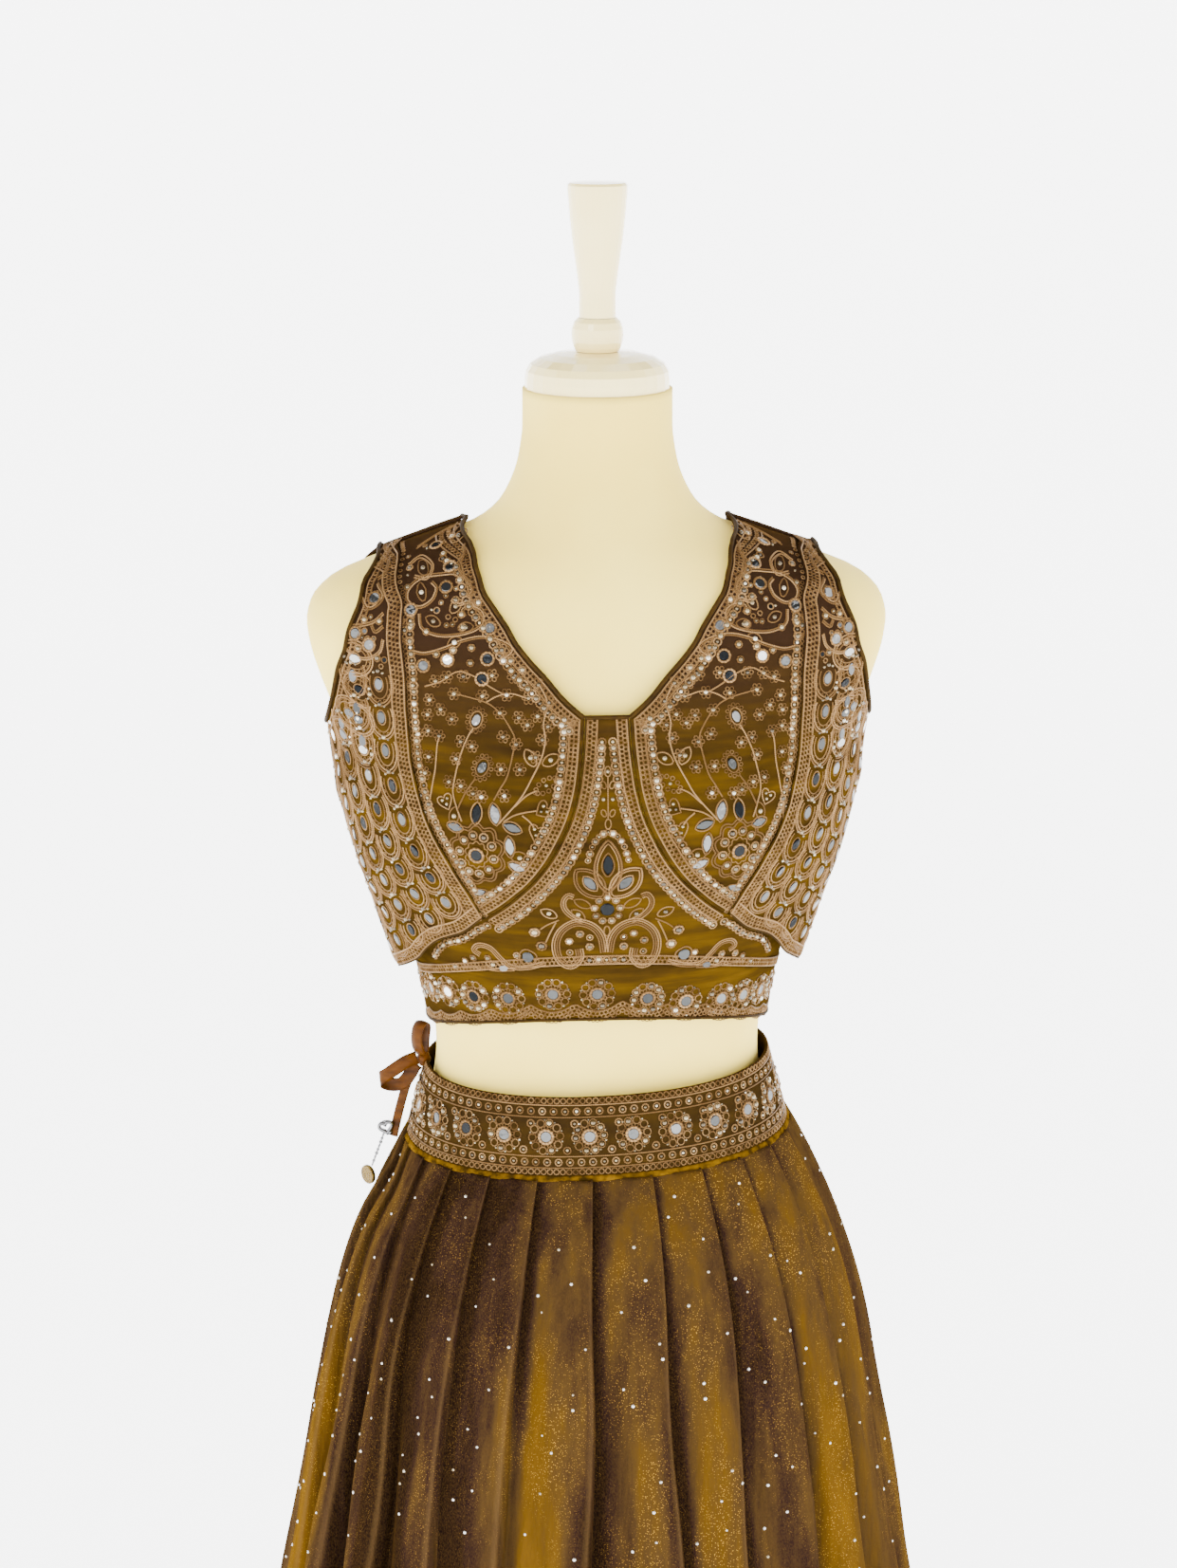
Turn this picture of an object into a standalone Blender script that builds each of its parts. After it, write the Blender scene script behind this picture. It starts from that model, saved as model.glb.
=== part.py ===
"""A pleated lehenga skirt and a sleeveless choli blouse on a limbless dress form.

Metres, +Z up. The front of the garment faces -Y and the form stands on z = 0.
The angle that places a point round the body is 0 at the centre front and
grows towards +X, so 90 is the side at +X and 180 the centre back.
"""
import math
from collections import namedtuple

import bmesh
import bpy
from mathutils import Vector

COLLECTION = "lehenga"

# Seams, cloth and how far a piece keeps off the one it lies on
SEAM_GAP = 0.0004
TIP_GAP = 0.0015
CHOLI_WALL = 0.0016
LAYER = 0.0026
WAISTBAND_WALL = 0.0024
SKIRT_WALL = 0.0014

# Dress form
FORM_COLUMNS = 40
STEEP_STEP = 0.012
Section = namedtuple("Section", "height half_width front back roundness")
FORM_SECTIONS = [Section(*row) for row in (
    (0.860, 0.1490, 0.1120, 0.1130, 2.15),
    (0.890, 0.1470, 0.1130, 0.1120, 2.15),
    (0.920, 0.1420, 0.1120, 0.1085, 2.15),
    (0.944, 0.1348, 0.1088, 0.1048, 2.15),
    (0.980, 0.1245, 0.0965, 0.0925, 2.15),
    (1.011, 0.1213, 0.0890, 0.0850, 2.15),
    (1.050, 0.1245, 0.0925, 0.0865, 2.20),
    (1.090, 0.1330, 0.0980, 0.0900, 2.20),
    (1.130, 0.1460, 0.1060, 0.0950, 2.25),
    (1.170, 0.1580, 0.1150, 0.1000, 2.30),
    (1.205, 0.1680, 0.1200, 0.1035, 2.30),
    (1.240, 0.1790, 0.1180, 0.1050, 2.30),
    (1.272, 0.1910, 0.1120, 0.1040, 2.30),
    (1.300, 0.2015, 0.1070, 0.1005, 2.30),
    (1.323, 0.2080, 0.1025, 0.0960, 2.30),
    (1.3375, 0.2097, 0.0995, 0.0930, 2.25),
    (1.3515, 0.2066, 0.0960, 0.0890, 2.15),
    (1.3676, 0.1925, 0.0910, 0.0830, 2.05),
    (1.3829, 0.1580, 0.0850, 0.0760, 2.00),
    (1.395, 0.1220, 0.0795, 0.0710, 2.00),
    (1.4072, 0.0885, 0.0740, 0.0670, 2.00),
    (1.4209, 0.0714, 0.0680, 0.0630, 2.00),
    (1.4347, 0.0631, 0.0625, 0.0590, 2.00),
    (1.4483, 0.0579, 0.0580, 0.0560, 2.00),
    (1.462, 0.0551, 0.0550, 0.0545, 2.00),
    (1.4755, 0.0535, 0.0535, 0.0535, 2.00),
    (1.5022, 0.0533, 0.0533, 0.0533, 2.00),
)]

# Turned pieces, each a profile from its top down its outer side
Ring = namedtuple("Ring", "radius height")
TURNED_STEPS = 28
NECK_CAP = [Ring(*row) for row in (
    (0.0000, 1.5279), (0.0160, 1.5279), (0.0300, 1.5266), (0.0410, 1.5238),
    (0.0478, 1.5197), (0.0508, 1.5148), (0.0514, 1.5090), (0.0514, 1.5025), (0.0000, 1.5025),
)]
NECK_BALL = [Ring(*row) for row in (
    (0.0000, 1.5516), (0.0138, 1.5516), (0.0166, 1.5487), (0.0182, 1.5442), (0.0185, 1.5396),
    (0.0180, 1.5350), (0.0168, 1.5310), (0.0152, 1.5282), (0.0000, 1.5282),
)]
FINIAL = [Ring(*row) for row in (
    (0.0000, 1.6452), (0.0195, 1.6448), (0.0212, 1.6430), (0.0212, 1.6400), (0.0196, 1.6210),
    (0.0178, 1.6050), (0.0158, 1.5910), (0.0141, 1.5790), (0.0130, 1.5690), (0.0130, 1.5519),
    (0.0000, 1.5519),
)]
POLE = [Ring(*row) for row in (
    (0.0000, 0.8597), (0.0320, 0.8597), (0.0340, 0.8580), (0.0340, 0.8440), (0.0320, 0.8420),
    (0.0150, 0.8400), (0.0150, 0.0553), (0.0000, 0.0553),
)]
BASE = [Ring(*row) for row in (
    (0.0000, 0.0550), (0.0200, 0.0550), (0.0225, 0.0525), (0.0240, 0.0260), (0.0300, 0.0200),
    (0.1600, 0.0130), (0.1690, 0.0110), (0.1700, 0.0080), (0.1700, 0.0000), (0.0000, 0.0000),
)]

# Ease of the choli over the form: clear distance of its outer face
Ease = namedtuple("Ease", "height side front back")
CHOLI_EASE = [Ease(*row) for row in (
    (1.000, 0.0040, 0.0100, 0.0080),
    (1.024, 0.0036, 0.0110, 0.0080),
    (1.045, 0.0050, 0.0120, 0.0080),
    (1.066, 0.0052, 0.0130, 0.0080),
    (1.090, 0.0048, 0.0130, 0.0080),
    (1.130, 0.0042, 0.0110, 0.0075),
    (1.170, 0.0060, 0.0090, 0.0070),
    (1.210, 0.0065, 0.0080, 0.0062),
    (1.240, 0.0052, 0.0076, 0.0058),
    (1.272, 0.0036, 0.0068, 0.0052),
    (1.300, 0.0032, 0.0056, 0.0046),
    (1.340, 0.0031, 0.0040, 0.0038),
    (1.375, 0.0034, 0.0034, 0.0034),
    (1.398, 0.0048, 0.0048, 0.0046),
    (1.420, 0.0050, 0.0050, 0.0048),
)]
# The cup stands out of the front as one round swelling on each side.
CUP_SPREAD = 0.078
CUP_HEIGHT = 1.205
CUP_OUT = 0.016
CUP_RADIUS = 0.060
CUP_RISE = 1.15
CUP_FALL = 0.85
# How far the side panel stands off the layer below it, by height
Stand = namedtuple("Stand", "height out")
SIDE_STAND = [Stand(*row) for row in (
    (1.060, 0.0030), (1.0775, 0.0065), (1.085, 0.0112), (1.095, 0.0134), (1.120, 0.0130),
    (1.150, 0.0113), (1.180, 0.0100), (1.210, 0.0085), (1.240, 0.0062), (1.272, 0.0012),
    (1.300, 0.0000), (1.420, 0.0000),
)]
STAND_STARTS = 34.0
STAND_FULL = 76.0
STAND_FADES = 92.0

# Edges of the choli's pieces: angle round the body in degrees, and height
Edge = namedtuple("Edge", "angle height")
EdgeRow = namedtuple("EdgeRow", "number angle height")
SIDE_SEAM = 110.0
NECKLINE = [Edge(*row) for row in (
    (90.0, 1.4062), (50.0, 1.3968), (34.0, 1.3843), (22.8, 1.3650), (17.6, 1.3510),
    (14.2, 1.3377), (9.3, 1.3175), (6.2, 1.3020), (3.0, 1.2897),
)]
CUP_SEAM = [Edge(*row) for row in (
    (3.0, 1.2897), (3.4, 1.2700), (4.2, 1.2480), (5.8, 1.2260), (8.6, 1.2060), (12.6, 1.1885),
    (17.6, 1.1720), (22.8, 1.1595), (28.5, 1.1487),
)]
VERTICAL_BAND = [Edge(*row) for row in (
    (90.0, 1.3888), (70.5, 1.3864), (53.5, 1.3760), (41.5, 1.3575), (38.2, 1.3217),
    (39.9, 1.2894), (41.4, 1.2568), (40.3, 1.2296), (38.1, 1.2114), (34.5, 1.1925),
    (31.5, 1.1700), (29.4, 1.1500),
)]
ARMHOLE = [Edge(*row) for row in (
    (90.0, 1.3843), (77.0, 1.3826), (64.0, 1.3753), (54.3, 1.3543), (55.3, 1.3330),
    (59.7, 1.3160), (67.1, 1.2935), (80.0, 1.2730), (96.0, 1.2630), (110.0, 1.2660),
)]
SIDE_LOWER = [Edge(*row) for row in (
    (29.4, 1.1500), (38.0, 1.1333), (48.0, 1.1235), (54.0, 1.1145), (58.5, 1.1060),
    (64.0, 1.0995), (72.0, 1.0915), (80.0, 1.0845), (91.0, 1.0795), (110.0, 1.0785),
)]
# The centre panel's edge goes on from the cup seam, hidden by the side panel.
HIDDEN_EDGE = [Edge(*row) for row in (
    (43.0, 1.1340), (57.0, 1.1210), (72.0, 1.0985), (88.0, 1.0885), (99.0, 1.0862),
    (110.0, 1.0840),
)]
CUP_TUCK = 4.0
BACK_NECK = [Edge(*row) for row in (
    (90.0, 1.4062), (116.0, 1.4010), (138.0, 1.3880), (155.0, 1.3700), (168.0, 1.3540), (180.0, 1.3480),
)]
BACK_ARMHOLE = [Edge(*row) for row in (
    (90.0, 1.3843), (103.0, 1.3826), (116.0, 1.3745), (124.0, 1.3550), (125.0, 1.3330),
    (121.5, 1.3120), (116.0, 1.2880), (110.0, 1.2660),
)]
# Heights of the band's two edges: at the side, and how much the front rises
HEM_SIDE = 1.0352
HEM_RISE = 0.0318
BAND_TOP_SIDE = 1.0734
BAND_TOP_RISE = 0.0381
RISE_POWER = 1.6
SEAM_ROWS = 9
NECK_ROWS = 9
ARMHOLE_ROWS = 11
BACK_ROWS = 16
BACK_NECK_ROWS = 6
BACK_ARMHOLE_ROWS = 9
PANEL_COLUMNS = 6
SIDE_COLUMNS = 8
FRONT_COLUMNS = 20
BACK_COLUMNS = 9

# Waistband: a strip on the hips, tilted a little, open at the side at -X
WAISTBAND_BOTTOM = 0.9440
TILT_SIDE = 0.035
TILT_FRONT = -0.020
WAISTBAND_TOP_RING = Section(1.0015, 0.1290, 0.1005, 0.0965, 2.15)
WAISTBAND_LOW_RING = Section(0.9440, 0.1445, 0.1127, 0.1087, 2.15)
WAISTBAND_COLUMNS = 18
OPENING_FROM = -92.5
OPENING_TO = -87.5

# Skirt: rings through the crests of its pleats
PLEATS = 24
FIRST_FOLD = -3.1
# No two pleats are quite alike: each turns and deepens by a wave of its number.
TURN_MOST = 2.2
TURN_WAVE = 2.39
TURN_PHASE = 0.7
DEPTH_MOST = 0.30
DEPTH_WAVE = 1.71
DEPTH_PHASE = 2.0
SEAM_PLEATS = 12
SKIRT_GAP = 0.0014
HEM_HEIGHT = 0.020
PLACKET_ANGLE = -88.0
PLACKET_WIDTH = 16.0
PLACKET_HEIGHT = 0.912
PLACKET_REACH = 0.026
PLACKET_IN = 0.007
Level = namedtuple("Level", "height half_width front back depth open")
SKIRT_LEVELS = [Level(*row) for row in (
    (0.9440, 0.1475, 0.1165, 0.1125, 0.0046, 0.00),
    (0.9200, 0.1610, 0.1330, 0.1290, 0.0056, 0.05),
    (0.8800, 0.1800, 0.1530, 0.1490, 0.0085, 0.18),
    (0.8200, 0.2005, 0.1720, 0.1710, 0.0120, 0.40),
    (0.7300, 0.2200, 0.1900, 0.1930, 0.0155, 0.65),
    (0.6000, 0.2440, 0.2120, 0.2180, 0.0200, 0.85),
    (0.4200, 0.2790, 0.2430, 0.2510, 0.0260, 1.00),
    (0.0200, 0.3570, 0.3150, 0.3250, 0.0340, 1.00),
)]
# One pleat from its root to the next: share of the pitch, share of the depth,
# pressed flat at the waist and hanging open lower down
Fold = namedtuple("Fold", "pressed_place pressed_depth open_place open_depth")
PLEAT = [Fold(*row) for row in (
    (-0.050, 1.00, -0.020, 1.00),
    (0.130, 0.86, 0.150, 0.80),
    (0.420, 0.50, 0.360, 0.38),
    (0.720, 0.16, 0.580, 0.08),
    (0.940, 0.00, 0.780, 0.00),
    (1.000, 0.16, 0.905, 0.26),
    (0.985, 0.60, 0.960, 0.66),
)]
SEAM_FOLD = 2

# Drawstring and charms at the open side
Place = namedtuple("Place", "x z")
Spot = namedtuple("Spot", "x y z")
SpotRow = namedtuple("SpotRow", "number x y z")
RIBBON_WIDTH = 0.010
RIBBON_WALL = 0.0012
KNOT_CENTRE = Spot(-0.1312, 0.0000, 0.9962)
KNOT_RADII = Spot(0.0056, 0.0053, 0.0062)
LOOP_MIDDLE = -0.0037
UPPER_LOOP = [Place(*row) for row in (
    (-0.1320, 1.0029), (-0.1360, 1.0078), (-0.1388, 1.0155), (-0.1378, 1.0240), (-0.1330, 1.0305),
    (-0.1280, 1.0300), (-0.1258, 1.0240), (-0.1262, 1.0145), (-0.1290, 1.0055),
)]
OUTER_LOOP = [Place(*row) for row in (
    (-0.1379, 0.9990), (-0.1460, 1.0002), (-0.1550, 0.9985), (-0.1632, 0.9920), (-0.1676, 0.9830),
    (-0.1660, 0.9745), (-0.1590, 0.9695), (-0.1510, 0.9700), (-0.1448, 0.9770), (-0.1405, 0.9860),
    (-0.1381, 0.9940),
)]
TAIL_DIAMETER = 0.0040
TAIL = [Spot(*row) for row in (
    (-0.13485, 0.0012, 0.9906), (-0.1372, 0.0040, 0.9872), (-0.1407, 0.0054, 0.9815),
    (-0.1444, 0.0056, 0.9735),
    (-0.1478, 0.0054, 0.9620), (-0.1510, 0.0048, 0.9500), (-0.1540, 0.0040, 0.9375),
    (-0.1552, 0.0036, 0.9320),
)]
TAIL_POINTS = 16
CURVE_RESOLUTION = 2
RING_CENTRE = Spot(-0.1608, 0.0034, 0.9400)
RING_RADIUS = 0.0045
RING_WIRE = 0.0007
LINK_TOP = Spot(-0.1615, 0.0034, 0.9369)
LINK_FOOT = Spot(-0.1720, 0.0034, 0.9080)
LINK_WIRE = 0.0005
LINK_HALF_WIDTH = 0.0016
LINK_STEPS = 5
DISC_CENTRE = Spot(-0.1750, 0.0034, 0.9007)
DISC_RADIUS = 0.0075
DISC_THICKNESS = 0.0030
DISC_TURN = 50.0
DISC_BEVEL = 0.0008

Surface = namedtuple("Surface", "red green blue roughness metallic")
SURFACES = {
    "jersey": Surface(0.82, 0.78, 0.66, 0.85, 0.0),
    "gloss": Surface(0.88, 0.84, 0.75, 0.12, 0.0),
    "pole_steel": Surface(0.55, 0.55, 0.56, 0.30, 1.0),
    "base_paint": Surface(0.80, 0.75, 0.64, 0.35, 0.0),
    "choli_fabric": Surface(0.13, 0.075, 0.022, 0.45, 0.2),
    "skirt_fabric": Surface(0.17, 0.09, 0.022, 0.40, 0.3),
    "ribbon": Surface(0.42, 0.16, 0.015, 0.35, 0.0),
    "charm_steel": Surface(0.45, 0.45, 0.46, 0.25, 1.0),
    "charm_brass": Surface(0.72, 0.56, 0.28, 0.30, 1.0),
}


def clear_scene():
    """Remove what the file holds before the object is made."""
    for thing in list(bpy.data.objects):
        bpy.data.objects.remove(thing, do_unlink=True)


def make_material(name):
    """One plain surface of the given colour."""
    look = SURFACES[name]
    material = bpy.data.materials.new(name)
    material.use_nodes = True
    surface = material.node_tree.nodes["Principled BSDF"]
    surface.inputs["Base Color"].default_value = (look.red, look.green, look.blue, 1.0)
    surface.inputs["Roughness"].default_value = look.roughness
    surface.inputs["Metallic"].default_value = look.metallic
    return material


def add_object(name, data, material):
    """Put a mesh or curve into the object's collection under its name."""
    thing = bpy.data.objects.new(name, data)
    thing.data.materials.append(materials[material])
    parts.objects.link(thing)
    return thing


def table_at(rows, place, key=0):
    """Read a table smoothly at a place between its rows, without overshoot."""
    low_end, high_end = sorted((rows[0][key], rows[-1][key]))
    place = min(max(place, low_end), high_end)
    index = 0
    while index < len(rows) - 2 and not between(rows[index][key], place, rows[index + 1][key]):
        index += 1
    low, high = rows[index], rows[index + 1]
    step = high[key] - low[key]
    share = (place - low[key]) / step
    before = rows[max(index - 1, 0)]
    after = rows[min(index + 2, len(rows) - 1)]
    values = []
    for column in range(len(low)):
        slope = (high[column] - low[column]) / step
        slope_in = slope
        slope_out = slope
        if index > 0:
            slope_in = (low[column] - before[column]) / (low[key] - before[key])
        if index + 2 < len(rows):
            slope_out = (after[column] - high[column]) / (after[key] - high[key])
        start = gentle(slope_in, slope) * step
        end = gentle(slope, slope_out) * step
        values.append(low[column] * (1 + 2 * share) * (1 - share) ** 2
                      + high[column] * share ** 2 * (3 - 2 * share)
                      + start * share * (1 - share) ** 2
                      - end * share ** 2 * (1 - share))
    return type(low)(*values)


def between(first, value, last):
    return min(first, last) <= value <= max(first, last)


def gentle(one, other):
    """Slope at a row of a table: none where the table turns."""
    if one * other <= 0:
        return 0.0
    return 2 * one * other / (one + other)


def smooth_step(start, end, value):
    share = min(max((value - start) / (end - start), 0.0), 1.0)
    return share * share * (3 - 2 * share)


def ring_point(section, angle):
    """Point of a level section at an angle round the body in degrees."""
    turn = math.radians(angle)
    across = math.sin(turn)
    ahead = math.cos(turn)
    power = 2.0 / section.roundness
    depth = section.front if ahead > 0 else section.back
    x = math.copysign(abs(across) ** power, across) * section.half_width
    y = -math.copysign(abs(ahead) ** power, ahead) * depth
    return Vector((x, y, section.height))


def form_point(angle, height):
    return ring_point(table_at(FORM_SECTIONS, height), angle)


def form_normal(angle, height):
    """Outward direction of the form's surface."""
    turn = 0.5
    rise = 0.002
    along = form_point(angle + turn, height) - form_point(angle - turn, height)
    upward = form_point(angle, height + rise) - form_point(angle, height - rise)
    return along.cross(upward).normalized()


def cup_out(point):
    """How far the cups stand out of the front at a point of the form."""
    if point.y > 0:
        return 0.0
    across = (abs(point.x) - CUP_SPREAD) / CUP_RADIUS
    reach = CUP_RISE if point.z > CUP_HEIGHT else CUP_FALL
    along = (point.z - CUP_HEIGHT) / (CUP_RADIUS * reach)
    return CUP_OUT * math.exp(-(across * across + along * along))


def side_stand(angle, height):
    """How far the side of the choli stands off its inner layer."""
    turn = abs(angle)
    share = smooth_step(STAND_STARTS, STAND_FULL, turn) - smooth_step(STAND_FADES, SIDE_SEAM, turn)
    return table_at(SIDE_STAND, height).out * share


def choli_point(angle, height, lift=0.0):
    """Outer face of the choli's inner layer, or lifted off it."""
    point = form_point(angle, height)
    ease = table_at(CHOLI_EASE, height)
    across = math.sin(math.radians(angle)) ** 2
    ahead = ease.front if abs(angle) < 90 else ease.back
    clear = ease.side * across + ahead * (1 - across)
    return point + form_normal(angle, height) * (clear + cup_out(point) + lift)


def inner_layer(angle, height):
    return choli_point(angle, height)


def side_layer(angle, height):
    return choli_point(angle, height, LAYER + side_stand(angle, height))


def along_edge(edge, count):
    """Evenly spaced points of an edge, measured along its row numbers."""
    rows = [(float(index), row.angle, row.height) for index, row in enumerate(edge)]
    numbered = [EdgeRow(*row) for row in rows]
    last = len(edge) - 1
    points = []
    for index in range(count):
        row = table_at(numbered, last * index / (count - 1))
        points.append(Edge(row.angle, row.height))
    return points


def fill_patch(left, right, top, bottom):
    """Grid of edge values between four edges that share their corners.

    left and right run down and have one entry for each row. top and bottom
    run from left to right and have one entry for each column.
    """
    rows = len(left) - 1
    columns = len(top) - 1
    grid = []
    for row in range(rows + 1):
        down = row / rows
        line = []
        for column in range(columns + 1):
            over = column / columns
            values = []
            for part in range(2):
                sides = left[row][part] * (1 - over) + right[row][part] * over
                ends = top[column][part] * (1 - down) + bottom[column][part] * down
                corners = ((top[0][part] * (1 - over) + top[-1][part] * over) * (1 - down)
                           + (bottom[0][part] * (1 - over) + bottom[-1][part] * over) * down)
                values.append(sides + ends - corners)
            line.append(Edge(*values))
        grid.append(line)
    return grid


def straight_edge(start, end, count):
    """Edge between two edge points, evenly divided."""
    points = []
    for index in range(count):
        share = index / (count - 1)
        points.append(Edge(start.angle + (end.angle - start.angle) * share,
                           start.height + (end.height - start.height) * share))
    return points


def pull_in(points, gaps):
    """Draw the outer points of a grid in, to leave the seams open.

    gaps gives the distance at the top, bottom, left and right.
    """
    top, bottom, left, right = gaps
    moved = [[point.copy() for point in line] for line in points]
    for column in range(len(points[0])):
        moved[0][column] += (points[1][column] - points[0][column]).normalized() * top
        moved[-1][column] += (points[-2][column] - points[-1][column]).normalized() * bottom
    for row, line in enumerate(points):
        moved[row][0] += (line[1] - line[0]).normalized() * left
        moved[row][-1] += (line[-2] - line[-1]).normalized() * right
    return moved


def grid_mesh(name, points):
    """Open sheet through a grid of points, facing out of the body."""
    mesh = bpy.data.meshes.new(name)
    sheet = bmesh.new()
    corners = [[sheet.verts.new(point) for point in line] for line in points]
    for row in range(len(corners) - 1):
        for column in range(len(corners[0]) - 1):
            sheet.faces.new((corners[row][column], corners[row + 1][column],
                             corners[row + 1][column + 1], corners[row][column + 1]))
    bmesh.ops.recalc_face_normals(sheet, faces=sheet.faces)
    facing = sum(face.normal.dot(outward(face.calc_center_median())) * face.calc_area()
                 for face in sheet.faces)
    if facing < 0:
        bmesh.ops.reverse_faces(sheet, faces=sheet.faces)
    sheet.to_mesh(mesh)
    sheet.free()
    mesh.shade_smooth()
    return mesh


def outward(point):
    return Vector((point.x, point.y, 0.0))


def add_cloth(name, points, wall, material):
    """Cloth piece: an open sheet thickened towards the body."""
    thing = add_object(name, grid_mesh(name, points), material)
    thickness = thing.modifiers.new("wall", "SOLIDIFY")
    thickness.thickness = wall
    thickness.offset = -1.0
    return thing


def turned_piece(name, profile, material):
    """Profile swept round the upright axis, from its top down."""
    mesh = bpy.data.meshes.new(name)
    line = bmesh.new()
    points = [line.verts.new((ring.radius, 0.0, ring.height)) for ring in profile]
    for first, second in zip(points, points[1:]):
        line.edges.new((first, second))
    line.to_mesh(mesh)
    line.free()
    thing = add_object(name, mesh, material)
    sweep = thing.modifiers.new("turn", "SCREW")
    sweep.axis = "Z"
    sweep.steps = TURNED_STEPS
    sweep.render_steps = TURNED_STEPS
    sweep.use_merge_vertices = True
    sweep.merge_threshold = 0.0001
    sweep.use_smooth_shade = True
    return thing


def make_torso():
    """Neck, shoulders, bust, waist and hips in one closed smooth form."""
    heights = [FORM_SECTIONS[0].height]
    for lower, upper in zip(FORM_SECTIONS, FORM_SECTIONS[1:]):
        steps = 1 + int(abs(upper.half_width - lower.half_width) / STEEP_STEP)
        for step in range(1, steps + 1):
            heights.append(lower.height + (upper.height - lower.height) * step / steps)
    mesh = bpy.data.meshes.new("form_torso")
    body = bmesh.new()
    rings = []
    for height in heights:
        ring = []
        for column in range(FORM_COLUMNS):
            ring.append(body.verts.new(form_point(360.0 * column / FORM_COLUMNS, height)))
        rings.append(ring)
    for lower, upper in zip(rings, rings[1:]):
        for column in range(FORM_COLUMNS):
            following = (column + 1) % FORM_COLUMNS
            body.faces.new((lower[column], lower[following], upper[following], upper[column]))
    body.faces.new(rings[-1])
    body.faces.new(list(reversed(rings[0])))
    bmesh.ops.recalc_face_normals(body, faces=body.faces)
    body.to_mesh(mesh)
    body.free()
    mesh.shade_smooth()
    mesh.set_sharp_from_angle(angle=math.radians(50))
    add_object("form_torso", mesh, "jersey")


def hem_line(angle):
    return Edge(angle, HEM_SIDE + HEM_RISE * front_share(angle))


def band_top_line(angle):
    return Edge(angle, BAND_TOP_SIDE + BAND_TOP_RISE * front_share(angle))


def front_share(angle):
    return max(math.cos(math.radians(angle)), 0.0) ** RISE_POWER


def angles(start, end, count):
    return [start + (end - start) * index / (count - 1) for index in range(count)]


def make_cup(name, side):
    """Cup: from the shoulder between neckline and side panel to a point below."""
    inner = along_edge(NECKLINE, NECK_ROWS) + along_edge(CUP_SEAM, SEAM_ROWS)[1:]
    rows = len(inner)
    outer = []
    for index, point in enumerate(along_edge(VERTICAL_BAND, rows)):
        under = CUP_TUCK * min(index / 3.0, (rows - 1 - index) / 5.0, 1.0)
        outer.append(Edge(point.angle + under, point.height))
    top = straight_edge(inner[0], outer[0], PANEL_COLUMNS + 1)
    bottom = straight_edge(inner[-1], outer[-1], PANEL_COLUMNS + 1)
    grid = fill_patch(inner, outer, top, bottom)
    points = [[inner_layer(side * spot.angle, spot.height) for spot in line] for line in grid]
    add_cloth(name, pull_in(points, (SEAM_GAP, TIP_GAP, SEAM_GAP, 0.0)), CHOLI_WALL, "choli_fabric")


def make_side_panel(name, side):
    """Side panel: from the shoulder round the armhole to a free lower corner."""
    rows = NECK_ROWS + SEAM_ROWS - 1
    inner = along_edge(VERTICAL_BAND, rows)
    armhole = along_edge(ARMHOLE, ARMHOLE_ROWS)
    seam = straight_edge(armhole[-1], SIDE_LOWER[-1], rows - ARMHOLE_ROWS + 1)
    outer = armhole + seam[1:]
    top = straight_edge(inner[0], outer[0], SIDE_COLUMNS + 1)
    bottom = along_edge(SIDE_LOWER, SIDE_COLUMNS + 1)
    grid = fill_patch(inner, outer, top, bottom)
    points = [[side_layer(side * spot.angle, spot.height) for spot in line] for line in grid]
    add_cloth(name, pull_in(points, (SEAM_GAP, 0.0, 0.0, SEAM_GAP)), CHOLI_WALL, "choli_fabric")


def make_centre_panel():
    """Centre front: narrow between the cups, spreading under them to the sides."""
    right = along_edge(CUP_SEAM, SEAM_ROWS) + HIDDEN_EDGE + [band_top_line(SIDE_SEAM)]
    points = []
    for edge in right:
        down = (right[0].height - edge.height) / (right[0].height - right[-1].height)
        line = []
        for angle in angles(-edge.angle, edge.angle, FRONT_COLUMNS + 1):
            rise = BAND_TOP_RISE * (front_share(angle) - front_share(edge.angle))
            line.append(inner_layer(angle, edge.height + down * rise))
        points.append(line)
    gaps = (0.0, SEAM_GAP, SEAM_GAP, SEAM_GAP)
    add_cloth("choli_centre", pull_in(points, gaps), CHOLI_WALL, "choli_fabric")


def make_band():
    """Under-bust band across the front, from its top seam to the hem."""
    points = []
    for share in (0.0, 0.5, 1.0):
        line = []
        for angle in angles(-SIDE_SEAM, SIDE_SEAM, FRONT_COLUMNS + 1):
            upper = band_top_line(angle).height
            lower = hem_line(angle).height
            line.append(inner_layer(angle, upper + (lower - upper) * share))
        points.append(line)
    gaps = (SEAM_GAP, 0.0, SEAM_GAP, SEAM_GAP)
    add_cloth("choli_band_front", pull_in(points, gaps), CHOLI_WALL, "choli_fabric")


def make_back(name, side):
    """Half of the back, from the shoulder to the hem, open at the centre back."""
    neck = along_edge(BACK_NECK, BACK_NECK_ROWS)
    centre = straight_edge(neck[-1], Edge(180.0, HEM_SIDE), BACK_ROWS - BACK_NECK_ROWS + 1)
    inner = neck + centre[1:]
    armhole = along_edge(BACK_ARMHOLE, BACK_ARMHOLE_ROWS)
    seam = straight_edge(armhole[-1], Edge(SIDE_SEAM, HEM_SIDE), BACK_ROWS - BACK_ARMHOLE_ROWS + 1)
    outer = armhole + seam[1:]
    top = straight_edge(inner[0], outer[0], BACK_COLUMNS + 1)
    bottom = straight_edge(inner[-1], outer[-1], BACK_COLUMNS + 1)
    grid = fill_patch(inner, outer, top, bottom)
    points = [[inner_layer(side * spot.angle, spot.height) for spot in line] for line in grid]
    add_cloth(name, pull_in(points, (SEAM_GAP, 0.0, SEAM_GAP, SEAM_GAP)), CHOLI_WALL, "choli_fabric")


def tilted(point):
    """Height of the waist's tilted level at a point, over the side's."""
    return TILT_SIDE * point.x + TILT_FRONT * point.y


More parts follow.
